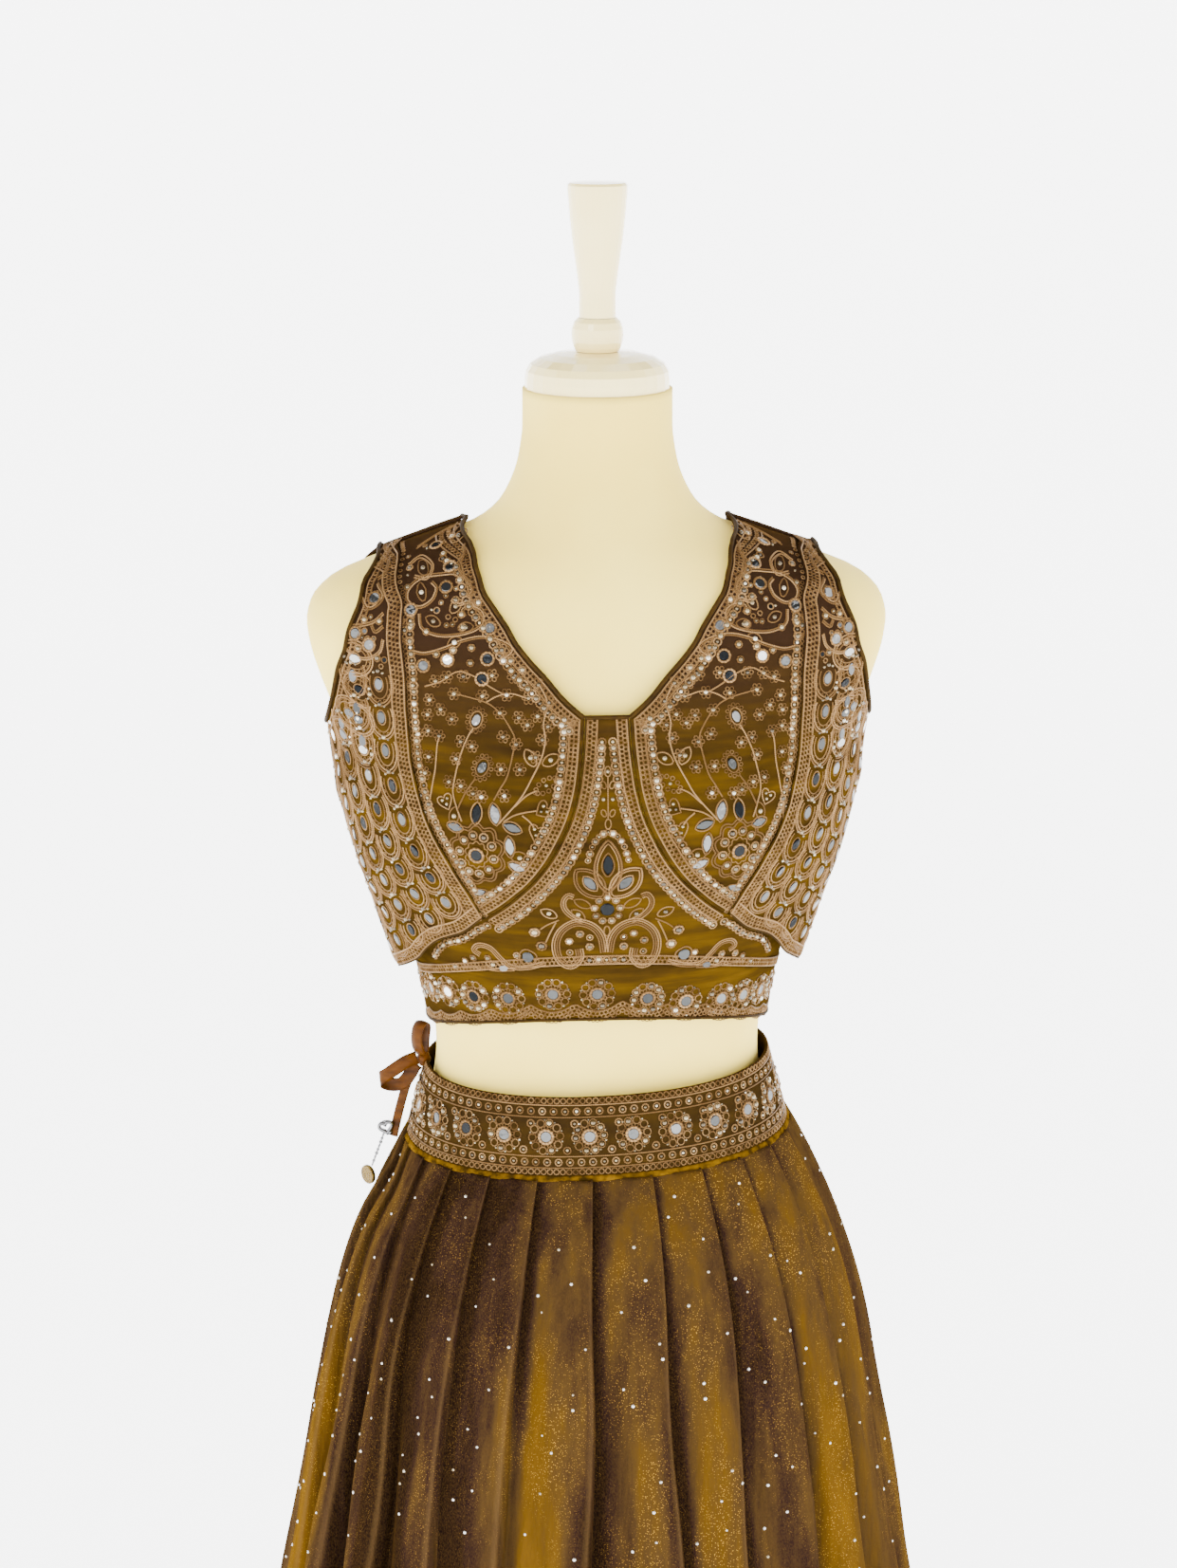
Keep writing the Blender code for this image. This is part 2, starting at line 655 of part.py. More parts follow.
def make_waistband(name, start, end):
    """Strip of the waistband between two angles."""
    points = []
    for share in (0.0, 0.5, 1.0):
        line = []
        for angle in angles(start, end, WAISTBAND_COLUMNS + 1):
            upper = ring_point(WAISTBAND_TOP_RING, angle)
            lower = ring_point(WAISTBAND_LOW_RING, angle)
            spot = upper.lerp(lower, share)
            spot.z += tilted(spot)
            line.append(spot)
        points.append(line)
    add_cloth(name, pull_in(points, (0.0, 0.0, SEAM_GAP, SEAM_GAP)), WAISTBAND_WALL, "choli_fabric")


def pleat_sway(pleat, height):
    """Small difference of one pleat from the next, in degrees and in depth."""
    drop = (WAISTBAND_BOTTOM - height) / WAISTBAND_BOTTOM
    turn = TURN_MOST * math.sin(TURN_WAVE * pleat + TURN_PHASE) * drop
    depth = 1.0 + DEPTH_MOST * math.sin(DEPTH_WAVE * pleat + DEPTH_PHASE) * min(4.0 * drop, 1.0)
    return turn, depth


def placket_inset(angle, height):
    """The skirt lies closer to the hip just below the open side."""
    across = (math.remainder(angle - PLACKET_ANGLE, 360.0)) / PLACKET_WIDTH
    along = (height - PLACKET_HEIGHT) / PLACKET_REACH
    return PLACKET_IN * math.exp(-(across * across + along * along))


def skirt_point(pleat, fold, level):
    """Point of the skirt on one fold line of a pleat at one level."""
    turn, depth = pleat_sway(pleat, level.height)
    next_turn, next_depth = pleat_sway(pleat - 1, level.height)
    place = fold.pressed_place + (fold.open_place - fold.pressed_place) * level.open
    inward = fold.pressed_depth + (fold.open_depth - fold.pressed_depth) * level.open
    pitch = 360.0 / PLEATS
    share = smooth_step(0.0, 0.5, place)
    sway = next_turn + (turn - next_turn) * share
    deep = next_depth + (depth - next_depth) * share
    angle = FIRST_FOLD + pitch * (pleat - 1 + place) + sway
    inset = inward * level.depth * deep + placket_inset(angle, level.height)
    ring = Section(level.height, level.half_width - inset, level.front - inset,
                   level.back - inset, WAISTBAND_LOW_RING.roundness)
    point = ring_point(ring, angle)
    if level.height > HEM_HEIGHT:
        share = (level.height - HEM_HEIGHT) / (WAISTBAND_BOTTOM - HEM_HEIGHT)
        point.z += tilted(point) * share ** 3
    return point


def make_skirt(name, first_pleat):
    """Half of the skirt: pleats stitched flat at the waist that open below."""
    points = []
    for level in SKIRT_LEVELS:
        line = []
        for number in range(SEAM_FOLD, SEAM_PLEATS * len(PLEAT) + SEAM_FOLD + 1):
            pleat = first_pleat + number // len(PLEAT)
            line.append(skirt_point(pleat, PLEAT[number % len(PLEAT)], level))
        points.append(line)
    for point in points[0]:
        point.z -= SKIRT_GAP
    add_cloth(name, pull_in(points, (0.0, 0.0, SEAM_GAP, SEAM_GAP)), SKIRT_WALL, "skirt_fabric")


def make_loop(name, path):
    """Ribbon loop: a closed outline with its like inside, given a width."""
    data = bpy.data.curves.new(name, "CURVE")
    data.dimensions = "2D"
    data.fill_mode = "BOTH"
    data.extrude = RIBBON_WIDTH / 2
    count = len(path)
    for inset in (0.0, RIBBON_WALL):
        line = data.splines.new("POLY")
        line.points.add(count - 1)
        line.use_cyclic_u = True
        for index, place in enumerate(path):
            before = path[index - 1]
            after = path[(index + 1) % count]
            along = Vector((after.x - before.x, after.z - before.z)).normalized()
            line.points[index].co = (place.x + along.y * inset, place.z - along.x * inset, 0.0, 1.0)
    thing = add_object(name, data, "ribbon")
    thing.rotation_euler = (math.radians(90), 0.0, 0.0)
    thing.location = (0.0, LOOP_MIDDLE, 0.0)


def make_wire(name, points, radius, material, closed=False):
    """Round wire through points."""
    data = bpy.data.curves.new(name, "CURVE")
    data.dimensions = "3D"
    data.bevel_depth = radius
    data.bevel_resolution = CURVE_RESOLUTION
    data.use_fill_caps = True
    line = data.splines.new("POLY")
    line.points.add(len(points) - 1)
    line.use_cyclic_u = closed
    for spot, point in zip(line.points, points):
        spot.co = (*point, 1.0)
    add_object(name, data, material)


def make_knot():
    bpy.ops.mesh.primitive_uv_sphere_add(segments=14, ring_count=8, radius=1.0)
    knot = bpy.context.object
    knot.name = "drawstring_knot"
    for vertex in knot.data.vertices:
        vertex.co = Vector(vertex.co[axis] * KNOT_RADII[axis] for axis in range(3))
    knot.location = KNOT_CENTRE
    take_in(knot, "ribbon")


def take_in(thing, material):
    """Move an object that an operator made into the object's collection."""
    for collection in list(thing.users_collection):
        collection.objects.unlink(thing)
    parts.objects.link(thing)
    thing.data.materials.append(materials[material])
    thing.data.shade_smooth()


def make_tail():
    """Free end of the drawstring, along a smooth line through its spots."""
    rows = [SpotRow(float(index), *spot) for index, spot in enumerate(TAIL)]
    points = []
    for index in range(TAIL_POINTS):
        row = table_at(rows, (len(TAIL) - 1) * index / (TAIL_POINTS - 1))
        points.append((row.x, row.y, row.z))
    make_wire("drawstring_tail", points, TAIL_DIAMETER / 2, "ribbon")


def make_charms():
    """Ring at the drawstring's end, the long link in it, and the disc below."""
    bpy.ops.mesh.primitive_torus_add(major_segments=18, minor_segments=6,
                                     major_radius=RING_RADIUS, minor_radius=RING_WIRE)
    ring = bpy.context.object
    ring.name = "charm_ring"
    ring.rotation_euler = (math.radians(90), 0.0, 0.0)
    ring.location = RING_CENTRE
    take_in(ring, "charm_steel")
    top = Vector(LINK_TOP)
    foot = Vector(LINK_FOOT)
    down = (foot - top).normalized()
    sideways = Vector((0.0, LINK_HALF_WIDTH, 0.0))
    points = []
    for centre, turn_from in ((top, 180.0), (foot, 0.0)):
        for step in range(LINK_STEPS + 1):
            turn = math.radians(turn_from + 180.0 * step / LINK_STEPS)
            inward = LINK_HALF_WIDTH if turn_from else -LINK_HALF_WIDTH
            points.append(centre + down * (inward + LINK_HALF_WIDTH * math.sin(turn))
                          + sideways * math.cos(turn))
    make_wire("charm_link", points, LINK_WIRE, "charm_steel", closed=True)
    bpy.ops.mesh.primitive_cylinder_add(vertices=18, radius=DISC_RADIUS, depth=DISC_THICKNESS)
    disc = bpy.context.object
    disc.name = "charm_disc"
    disc.rotation_euler = (math.radians(90), 0.0, math.radians(-DISC_TURN))
    disc.location = DISC_CENTRE
    edge = disc.modifiers.new("edge", "BEVEL")
    edge.width = DISC_BEVEL
    edge.segments = 2
    edge.limit_method = "ANGLE"
    take_in(disc, "charm_brass")


clear_scene()
parts = bpy.data.collections.new(COLLECTION)
bpy.context.scene.collection.children.link(parts)
materials = {name: make_material(name) for name in SURFACES}

make_torso()
turned_piece("neck_cap", NECK_CAP, "gloss")
turned_piece("neck_ball", NECK_BALL, "gloss")
turned_piece("finial", FINIAL, "gloss")
turned_piece("form_pole", POLE, "pole_steel")
turned_piece("form_base", BASE, "base_paint")

for word, side in (("left", -1), ("right", 1)):
    make_cup("choli_cup_" + word, side)
    make_side_panel("choli_side_" + word, side)
    make_back("choli_back_" + word, side)
make_centre_panel()
make_band()
make_waistband("waistband_front", OPENING_TO, 90.0)
make_waistband("waistband_back", 90.0, 360.0 + OPENING_FROM)
make_skirt("skirt_front", -5)
make_skirt("skirt_back", 7)
make_knot()
make_loop("drawstring_loop_upper", UPPER_LOOP)
make_loop("drawstring_loop_outer", OUTER_LOOP)
make_tail()
make_charms()
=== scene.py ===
"""Looks of an embroidered choli and a pleated lehenga skirt on a dress form.

Metres, +Z up, front to -Y. An angle round the body is 0 at the centre front and
grows towards +X. Each piece of cloth is a fine shell on the surface that its CAD
solid follows, and the embroidery is laid on that surface in a flat chart: metres
across from the centre front, and height.
"""
import math
from collections import namedtuple

import bpy
import numpy as np
from mathutils import Matrix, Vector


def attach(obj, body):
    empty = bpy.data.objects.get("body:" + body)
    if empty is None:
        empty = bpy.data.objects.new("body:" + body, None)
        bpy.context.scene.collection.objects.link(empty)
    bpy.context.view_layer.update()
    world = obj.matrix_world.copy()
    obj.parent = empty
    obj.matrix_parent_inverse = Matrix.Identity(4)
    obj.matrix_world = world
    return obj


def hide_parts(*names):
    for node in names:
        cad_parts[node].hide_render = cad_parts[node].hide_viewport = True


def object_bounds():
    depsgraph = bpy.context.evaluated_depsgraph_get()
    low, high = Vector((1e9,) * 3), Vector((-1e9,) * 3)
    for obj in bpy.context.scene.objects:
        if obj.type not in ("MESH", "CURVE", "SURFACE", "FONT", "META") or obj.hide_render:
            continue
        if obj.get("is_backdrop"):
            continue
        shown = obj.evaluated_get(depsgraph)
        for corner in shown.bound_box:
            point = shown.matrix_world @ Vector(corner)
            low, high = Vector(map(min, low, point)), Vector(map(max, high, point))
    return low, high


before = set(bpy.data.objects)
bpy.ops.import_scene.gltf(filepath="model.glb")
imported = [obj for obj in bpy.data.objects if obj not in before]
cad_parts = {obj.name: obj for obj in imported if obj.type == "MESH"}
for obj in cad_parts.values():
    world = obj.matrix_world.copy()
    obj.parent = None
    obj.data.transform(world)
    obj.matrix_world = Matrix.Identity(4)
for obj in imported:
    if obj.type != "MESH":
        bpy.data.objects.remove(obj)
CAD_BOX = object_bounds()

BODY = "root"

# Cloth and seams
SEAM_GAP = 0.0003
CHOLI_WALL = 0.0011
LAYER = 0.0026
WAISTBAND_WALL = 0.0018
SKIRT_WALL = 0.0007
SEAM_ALLOWANCE = 0.008
LEAST_SHARE = 0.301

# Dress form: level sections
Section = namedtuple("Section", "height half_width front back roundness")
FORM = [Section(*row) for row in (
    (0.860, 0.1490, 0.1120, 0.1130, 2.15),
    (0.890, 0.1470, 0.1130, 0.1120, 2.15),
    (0.920, 0.1420, 0.1120, 0.1085, 2.15),
    (0.944, 0.1348, 0.1088, 0.1048, 2.15),
    (0.980, 0.1245, 0.0965, 0.0925, 2.15),
    (1.011, 0.1213, 0.0890, 0.0850, 2.15),
    (1.050, 0.1245, 0.0925, 0.0865, 2.20),
    (1.090, 0.1330, 0.0980, 0.0900, 2.20),
    (1.130, 0.1460, 0.1060, 0.0950, 2.25),
    (1.170, 0.1580, 0.1150, 0.1000, 2.30),
    (1.205, 0.1680, 0.1200, 0.1035, 2.30),
    (1.240, 0.1790, 0.1180, 0.1050, 2.30),
    (1.272, 0.1910, 0.1120, 0.1040, 2.30),
    (1.300, 0.2015, 0.1070, 0.1005, 2.30),
    (1.323, 0.2080, 0.1025, 0.0960, 2.30),
    (1.3375, 0.2097, 0.0995, 0.0930, 2.25),
    (1.3515, 0.2066, 0.0960, 0.0890, 2.15),
    (1.3676, 0.1925, 0.0910, 0.0830, 2.05),
    (1.3829, 0.1580, 0.0850, 0.0760, 2.00),
    (1.395, 0.1220, 0.0795, 0.0710, 2.00),
    (1.4072, 0.0885, 0.0740, 0.0670, 2.00),
    (1.4209, 0.0714, 0.0680, 0.0630, 2.00),
    (1.4347, 0.0631, 0.0625, 0.0590, 2.00),
    (1.4483, 0.0579, 0.0580, 0.0560, 2.00),
    (1.462, 0.0551, 0.0550, 0.0545, 2.00),
    (1.4755, 0.0535, 0.0535, 0.0535, 2.00),
    (1.5022, 0.0533, 0.0533, 0.0533, 2.00),
)]
FORM_ROWS = 120
FORM_COLUMNS = 128

# Choli: ease over the form, swelling of the cups, stand of the side panels
Ease = namedtuple("Ease", "height side front back")
CHOLI_EASE = [Ease(*row) for row in (
    (1.000, 0.0040, 0.0100, 0.0080),
    (1.024, 0.0036, 0.0110, 0.0080),
    (1.045, 0.0050, 0.0120, 0.0080),
    (1.066, 0.0052, 0.0130, 0.0080),
    (1.090, 0.0048, 0.0130, 0.0080),
    (1.130, 0.0042, 0.0110, 0.0075),
    (1.170, 0.0060, 0.0090, 0.0070),
    (1.210, 0.0065, 0.0080, 0.0062),
    (1.240, 0.0052, 0.0076, 0.0058),
    (1.272, 0.0036, 0.0068, 0.0052),
    (1.300, 0.0032, 0.0056, 0.0046),
    (1.340, 0.0031, 0.0040, 0.0038),
    (1.375, 0.0034, 0.0034, 0.0034),
    (1.398, 0.0048, 0.0048, 0.0046),
    (1.420, 0.0050, 0.0050, 0.0048),
)]
CUP_SPREAD = 0.078
CUP_HEIGHT = 1.205
CUP_OUT = 0.016
CUP_RADIUS = 0.060
CUP_RISE = 1.15
CUP_FALL = 0.85
Stand = namedtuple("Stand", "height out")
SIDE_STAND = [Stand(*row) for row in (
    (1.060, 0.0030), (1.0775, 0.0065), (1.085, 0.0112), (1.095, 0.0134), (1.120, 0.0130),
    (1.150, 0.0113), (1.180, 0.0100), (1.210, 0.0085), (1.240, 0.0062), (1.272, 0.0012),
    (1.300, 0.0000), (1.420, 0.0000),
)]
STAND_STARTS = 34.0
STAND_FULL = 76.0
STAND_FADES = 92.0
# Soft creases in the choli, each along a line from one place to another
Crease = namedtuple("Crease", "angle height to_angle to_height width depth")
CHOLI_CREASES = [Crease(*row) for row in (
    (-8.0, 1.262, -30.0, 1.272, 0.0045, 0.0006),
    (9.0, 1.255, 33.0, 1.262, 0.0050, 0.0006),
    (-12.0, 1.238, -34.0, 1.246, 0.0040, -0.0005),
    (14.0, 1.226, 36.0, 1.232, 0.0042, -0.0006),
    (30.0, 1.136, 66.0, 1.090, 0.0050, 0.0009),
    (-32.0, 1.134, -60.0, 1.092, 0.0045, 0.0008),
    (38.0, 1.118, 78.0, 1.082, 0.0036, -0.0007),
    (70.0, 1.240, 100.0, 1.205, 0.0090, 0.0016),
    (-72.0, 1.236, -104.0, 1.196, 0.0085, 0.0014),
    (80.0, 1.190, 108.0, 1.150, 0.0080, -0.0012),
    (-82.0, 1.180, -108.0, 1.146, 0.0080, -0.0012),
    (128.0, 1.150, 150.0, 1.240, 0.0120, 0.0016),
    (-130.0, 1.140, -152.0, 1.236, 0.0110, 0.0015),
    (160.0, 1.070, 150.0, 1.180, 0.0100, -0.0014),
    (-158.0, 1.066, -148.0, 1.176, 0.0100, -0.0014),
    (120.0, 1.060, 170.0, 1.082, 0.0080, 0.0012),
    (-122.0, 1.056, -172.0, 1.088, 0.0080, 0.0012),
)]

# Edges of the choli's pieces: angle round the body in degrees, and height
Edge = namedtuple("Edge", "angle height")
SIDE_SEAM = 110.0
NECKLINE = [Edge(*row) for row in (
    (90.0, 1.4062), (50.0, 1.3968), (34.0, 1.3843), (22.8, 1.3650), (17.6, 1.3510),
    (14.2, 1.3377), (9.3, 1.3175), (6.2, 1.3020), (3.0, 1.2897),
)]
CUP_SEAM = [Edge(*row) for row in (
    (3.0, 1.2897), (3.4, 1.2700), (4.2, 1.2480), (5.8, 1.2260), (8.6, 1.2060), (12.6, 1.1885),
    (17.6, 1.1720), (22.8, 1.1595), (28.5, 1.1487),
)]
VERTICAL_BAND = [Edge(*row) for row in (
    (90.0, 1.3888), (70.5, 1.3864), (53.5, 1.3760), (41.5, 1.3575), (38.2, 1.3217),
    (39.9, 1.2894), (41.4, 1.2568), (40.3, 1.2296), (38.1, 1.2114), (34.5, 1.1925),
    (31.5, 1.1700), (29.4, 1.1500),
)]
ARMHOLE = [Edge(*row) for row in (
    (90.0, 1.3843), (77.0, 1.3826), (64.0, 1.3753), (54.3, 1.3543), (55.3, 1.3330),
    (59.7, 1.3160), (67.1, 1.2935), (80.0, 1.2730), (96.0, 1.2630), (110.0, 1.2660),
)]
SIDE_LOWER = [Edge(*row) for row in (
    (29.4, 1.1500), (38.0, 1.1333), (48.0, 1.1235), (54.0, 1.1145), (58.5, 1.1060),
    (64.0, 1.0995), (72.0, 1.0915), (80.0, 1.0845), (91.0, 1.0795), (110.0, 1.0785),
)]
HIDDEN_EDGE = [Edge(*row) for row in (
    (43.0, 1.1340), (57.0, 1.1210), (72.0, 1.0985), (88.0, 1.0885), (99.0, 1.0862),
    (110.0, 1.0840),
)]
BACK_NECK = [Edge(*row) for row in (
    (90.0, 1.4062), (116.0, 1.4010), (138.0, 1.3880), (155.0, 1.3700), (168.0, 1.3540), (180.0, 1.3480),
)]
BACK_ARMHOLE = [Edge(*row) for row in (
    (90.0, 1.3843), (103.0, 1.3826), (116.0, 1.3745), (124.0, 1.3550), (125.0, 1.3330),
    (121.5, 1.3120), (116.0, 1.2880), (110.0, 1.2660),
)]
# One turn of a cord's twist
TWIST_PITCH = 0.0013
# Stitching ends here: just before the shoulder's seam, and inside its tip
SHOULDER_LOW = 1.33
SHOULDER_SEAM = -0.0045
TIP_LOW = 1.36
TIP_SLOPE = 0.5
TIP_REACH = 0.1715

# Degrees that the cup's edge runs under the side panel
CUP_UNDER = 4.0
# Level edges: their height at the side, and their rise at the centre front
HEM_SIDE = 1.0352
HEM_RISE = 0.0318
BAND_TOP_SIDE = 1.0734
BAND_TOP_RISE = 0.0381
RISE_POWER = 1.6

# Waistband
TILT_SIDE = 0.035
TILT_FRONT = -0.020
BAND_TOP = Section(1.0015, 0.1290, 0.1005, 0.0965, 2.15)
BAND_LOW = Section(0.9440, 0.1445, 0.1127, 0.1087, 2.15)
OPENING_FROM = -92.5
OPENING_TO = -87.5
LEDGE_WALL = 0.0004
LEDGE_WIDTH = 0.0102

# Skirt
PLEATS = 24
FIRST_FOLD = -3.1
TURN_MOST = 2.2
TURN_WAVE = 2.39
TURN_PHASE = 0.7
DEPTH_MOST = 0.30
DEPTH_WAVE = 1.71
DEPTH_PHASE = 2.0
SKIRT_GAP = 0.0014
HEM_HEIGHT = 0.020
SEAM_FOLD = 2
SEAM_PLEATS = 12
PLACKET_ANGLE = -88.0
PLACKET_WIDTH = 16.0
PLACKET_HEIGHT = 0.912
PLACKET_REACH = 0.026
PLACKET_IN = 0.007
Level = namedtuple("Level", "height half_width front back depth open")
SKIRT_LEVELS = [Level(*row) for row in (
    (0.9440, 0.1475, 0.1165, 0.1125, 0.0046, 0.00),
    (0.9200, 0.1610, 0.1330, 0.1290, 0.0056, 0.05),
    (0.8800, 0.1800, 0.1530, 0.1490, 0.0085, 0.18),
    (0.8200, 0.2005, 0.1720, 0.1710, 0.0120, 0.40),
    (0.7300, 0.2200, 0.1900, 0.1930, 0.0155, 0.65),
    (0.6000, 0.2440, 0.2120, 0.2180, 0.0200, 0.85),
    (0.4200, 0.2790, 0.2430, 0.2510, 0.0260, 1.00),
    (0.0200, 0.3570, 0.3150, 0.3250, 0.0340, 1.00),
)]
Fold = namedtuple("Fold", "pressed_place pressed_depth open_place open_depth")
PLEAT = [Fold(*row) for row in (
    (-0.050, 1.00, -0.020, 1.00),
    (0.130, 0.86, 0.150, 0.80),
    (0.420, 0.50, 0.360, 0.38),
    (0.720, 0.16, 0.580, 0.08),
    (0.940, 0.00, 0.780, 0.00),
    (1.000, 0.16, 0.905, 0.26),
    (0.985, 0.60, 0.960, 0.66),
)]
# Rows of the skirt's grid: from one height to another, and how many
SKIRT_ROWS = ((BAND_LOW.height, 0.90, 15), (0.90, 0.52, 36), (0.52, HEM_HEIGHT, 28))
COLUMNS_PER_FOLD = 4
FOLD_EDGE = 4.7


def read_table(rows, places):
    """Columns of a table at places of its first column, smooth, without overshoot."""
    rows = np.asarray(rows, dtype=float)
    if rows[0, 0] > rows[-1, 0]:
        rows = rows[::-1]
    keys = rows[:, 0]
    places = np.clip(np.asarray(places, dtype=float), keys[0], keys[-1])
    low = np.clip(np.searchsorted(keys, places, side="right") - 1, 0, len(keys) - 2)
    steps = np.diff(keys)
    slopes = np.diff(rows, axis=0) / steps[:, None]
    product = slopes[1:] * slopes[:-1]
    total = np.where(product > 0, slopes[1:] + slopes[:-1], 1.0)
    turning = np.where(product > 0, 2 * product / total, 0.0)
    tangents = np.vstack((slopes[:1], turning, slopes[-1:]))
    share = ((places - keys[low]) / steps[low])[..., None]
    step = steps[low][..., None]
    return (rows[low] * (1 + 2 * share) * (1 - share) ** 2
            + rows[low + 1] * share ** 2 * (3 - 2 * share)
            + tangents[low] * step * share * (1 - share) ** 2
            - tangents[low + 1] * step * share ** 2 * (1 - share))


def along_rows(rows, count):
    """Evenly spread places down the rows of a table, smooth between them."""
    return read_table([(index, *row) for index, row in enumerate(rows)],
                      np.linspace(0, len(rows) - 1, count))[:, 1:]


def smooth_step(start, end, value):
    share = np.clip((value - start) / (end - start), 0.0, 1.0)
    return share * share * (3 - 2 * share)


def unit(vectors):
    return vectors / np.maximum(np.linalg.norm(vectors, axis=-1, keepdims=True), 1e-12)


def uneven(number, salt):
    """A steady share between 0 and 1 that jumps about from number to number."""
    wave = np.sin(np.asarray(number, dtype=float) * 12.9898 + salt * 78.233) * 43758.5453
    return wave - np.floor(wave)


# Surfaces round the body

def ring_point(sections, degrees):
    """Points of level sections at angles round the body."""
    turn = np.radians(degrees)
    across = np.sin(turn)
    ahead = np.cos(turn)
    height, half_width, front, back, roundness = np.moveaxis(np.asarray(sections), -1, 0)
    power = 2.0 / roundness
    depth = np.where(ahead > 0, front, back)
    x = np.sign(across) * np.abs(across) ** power * half_width
    y = -np.sign(ahead) * np.abs(ahead) ** power * depth
    return np.stack(np.broadcast_arrays(x, y, height), -1)


def form_point(degrees, height):
    return ring_point(read_table(FORM, height), degrees)


def form_normal(degrees, height):
    turn = 0.5
    rise = 0.002
    along = form_point(degrees + turn, height) - form_point(degrees - turn, height)
    upward = form_point(degrees, height + rise) - form_point(degrees, height - rise)
    return unit(np.cross(along, upward))


def choli_creases(degrees, height):
    """How far the choli's creases stand out at a place."""
    out = np.zeros(np.broadcast(degrees, height).shape)
    metres_per_degree = 0.0022
    for crease in CHOLI_CREASES:
        along = np.array(((crease.to_angle - crease.angle) * metres_per_degree,
                          crease.to_height - crease.height))
        length = np.linalg.norm(along)
        across = (degrees - crease.angle) * metres_per_degree
        up = height - crease.height
        place = (across * along[0] + up * along[1]) / length ** 2
        off = (across * along[1] - up * along[0]) / length
        ends = smooth_step(-0.15, 0.35, place) * smooth_step(1.15, 0.65, place)
        out = out + crease.depth * ends * np.exp(-(off / crease.width) ** 2)
    return out


def choli_point(degrees, height, lift=0.0):
    """Outer face of the choli's inner layer, or lifted off it."""
    degrees = np.asarray(degrees, dtype=float)
    point = form_point(degrees, height)
    ease = read_table(CHOLI_EASE, height)
    across = np.sin(np.radians(degrees)) ** 2
    ahead = np.where(np.abs(degrees) < 90, ease[..., 2], ease[..., 3])
    clear = ease[..., 1] * across + ahead * (1 - across)
    offside = (np.abs(point[..., 0]) - CUP_SPREAD) / CUP_RADIUS
    reach = np.where(point[..., 2] > CUP_HEIGHT, CUP_RISE, CUP_FALL) * CUP_RADIUS
    along = (point[..., 2] - CUP_HEIGHT) / reach
    cup = np.where(point[..., 1] > 0, 0.0, CUP_OUT * np.exp(-(offside ** 2 + along ** 2)))
    out = clear + cup + lift + choli_creases(degrees, height)
    return point + form_normal(degrees, height) * out[..., None]


def side_point(degrees, height):
    """The side panel's outer face, which stands off the inner layer."""
    turn = np.abs(degrees)
    share = smooth_step(STAND_STARTS, STAND_FULL, turn) - smooth_step(STAND_FADES, SIDE_SEAM, turn)
    return choli_point(degrees, height, LAYER + read_table(SIDE_STAND, height)[..., 1] * share)


def tilt(points):
    return TILT_SIDE * points[..., 0] + TILT_FRONT * points[..., 1]


def waistband_point(degrees, height):
    """Outer face of the waistband, its height taken before the tilt."""
    rings = np.asarray((BAND_LOW, BAND_TOP))
    share = ((height - BAND_LOW.height) / (BAND_TOP.height - BAND_LOW.height))[..., None]
    point = ring_point(rings[0] * (1 - share) + rings[1] * share, degrees)
    point[..., 2] += tilt(point)
    return point


CHART_ROWS = 90
CHART_COLUMNS = 360
CHART_PLACES = 1201


class Chart:
    """A surface laid out flat: metres across from the centre front, and height."""

    def __init__(self, point, low, high):
        self.point = point
        self.heights = np.linspace(low, high, CHART_ROWS)
        self.degrees = np.linspace(-180.0, 180.0, 2 * CHART_COLUMNS + 1)
        grid = point(self.degrees[None, :] + 0 * self.heights[:, None],
                     self.heights[:, None] + 0 * self.degrees[None, :])
        steps = np.linalg.norm(np.diff(grid, axis=1), axis=-1)
        lengths = np.concatenate((np.zeros((len(self.heights), 1)), np.cumsum(steps, axis=1)), 1)
        self.lengths = lengths - lengths[:, [CHART_COLUMNS]]
        reach = float(self.lengths[:, -1].max())
        self.places = np.linspace(-reach, reach, CHART_PLACES)
        self.angles = np.stack([np.interp(self.places, row, self.degrees) for row in self.lengths])

    def read(self, grid, columns, heights, places):
        """Value of a grid over heights and columns, between its points."""
        row, column = [np.clip((place - line[0]) / (line[1] - line[0]), 0, len(line) - 1.001)
                       for line, place in ((self.heights, heights), (columns, places))]
        i = row.astype(int)
        j = column.astype(int)
        u = row - i
        v = column - j
        return (grid[i, j] * (1 - u) * (1 - v) + grid[i + 1, j] * u * (1 - v)
                + grid[i, j + 1] * (1 - u) * v + grid[i + 1, j + 1] * u * v)

    def across(self, degrees, heights):
        return self.read(self.lengths, self.degrees, heights, degrees)

    def edge(self, edge, count=80):
        """An edge table as a path of the chart."""
        degrees, heights = along_rows(edge, count).T
        return np.stack((self.across(degrees, heights), heights), -1)

    def frames(self, places, lift=0.0):
        """Points on the surface with their right, up and outward directions."""
        places = np.asarray(places, dtype=float)
        height = places[..., 1]
        degrees = self.read(self.angles, self.places, height, places[..., 0])
        turn = 0.4
        rise = 0.0012
        right = unit(self.point(degrees + turn, height) - self.point(degrees - turn, height))
        upward = self.point(degrees, height + rise) - self.point(degrees, height - rise)
        out = unit(np.cross(right, upward))
        up = np.cross(out, right)
        return self.point(degrees, height) + out * lift, right, up, out


# Meshes

def linked(name, data):
    thing = bpy.data.objects.new(name, data)
    bpy.context.scene.collection.objects.link(thing)
    return thing


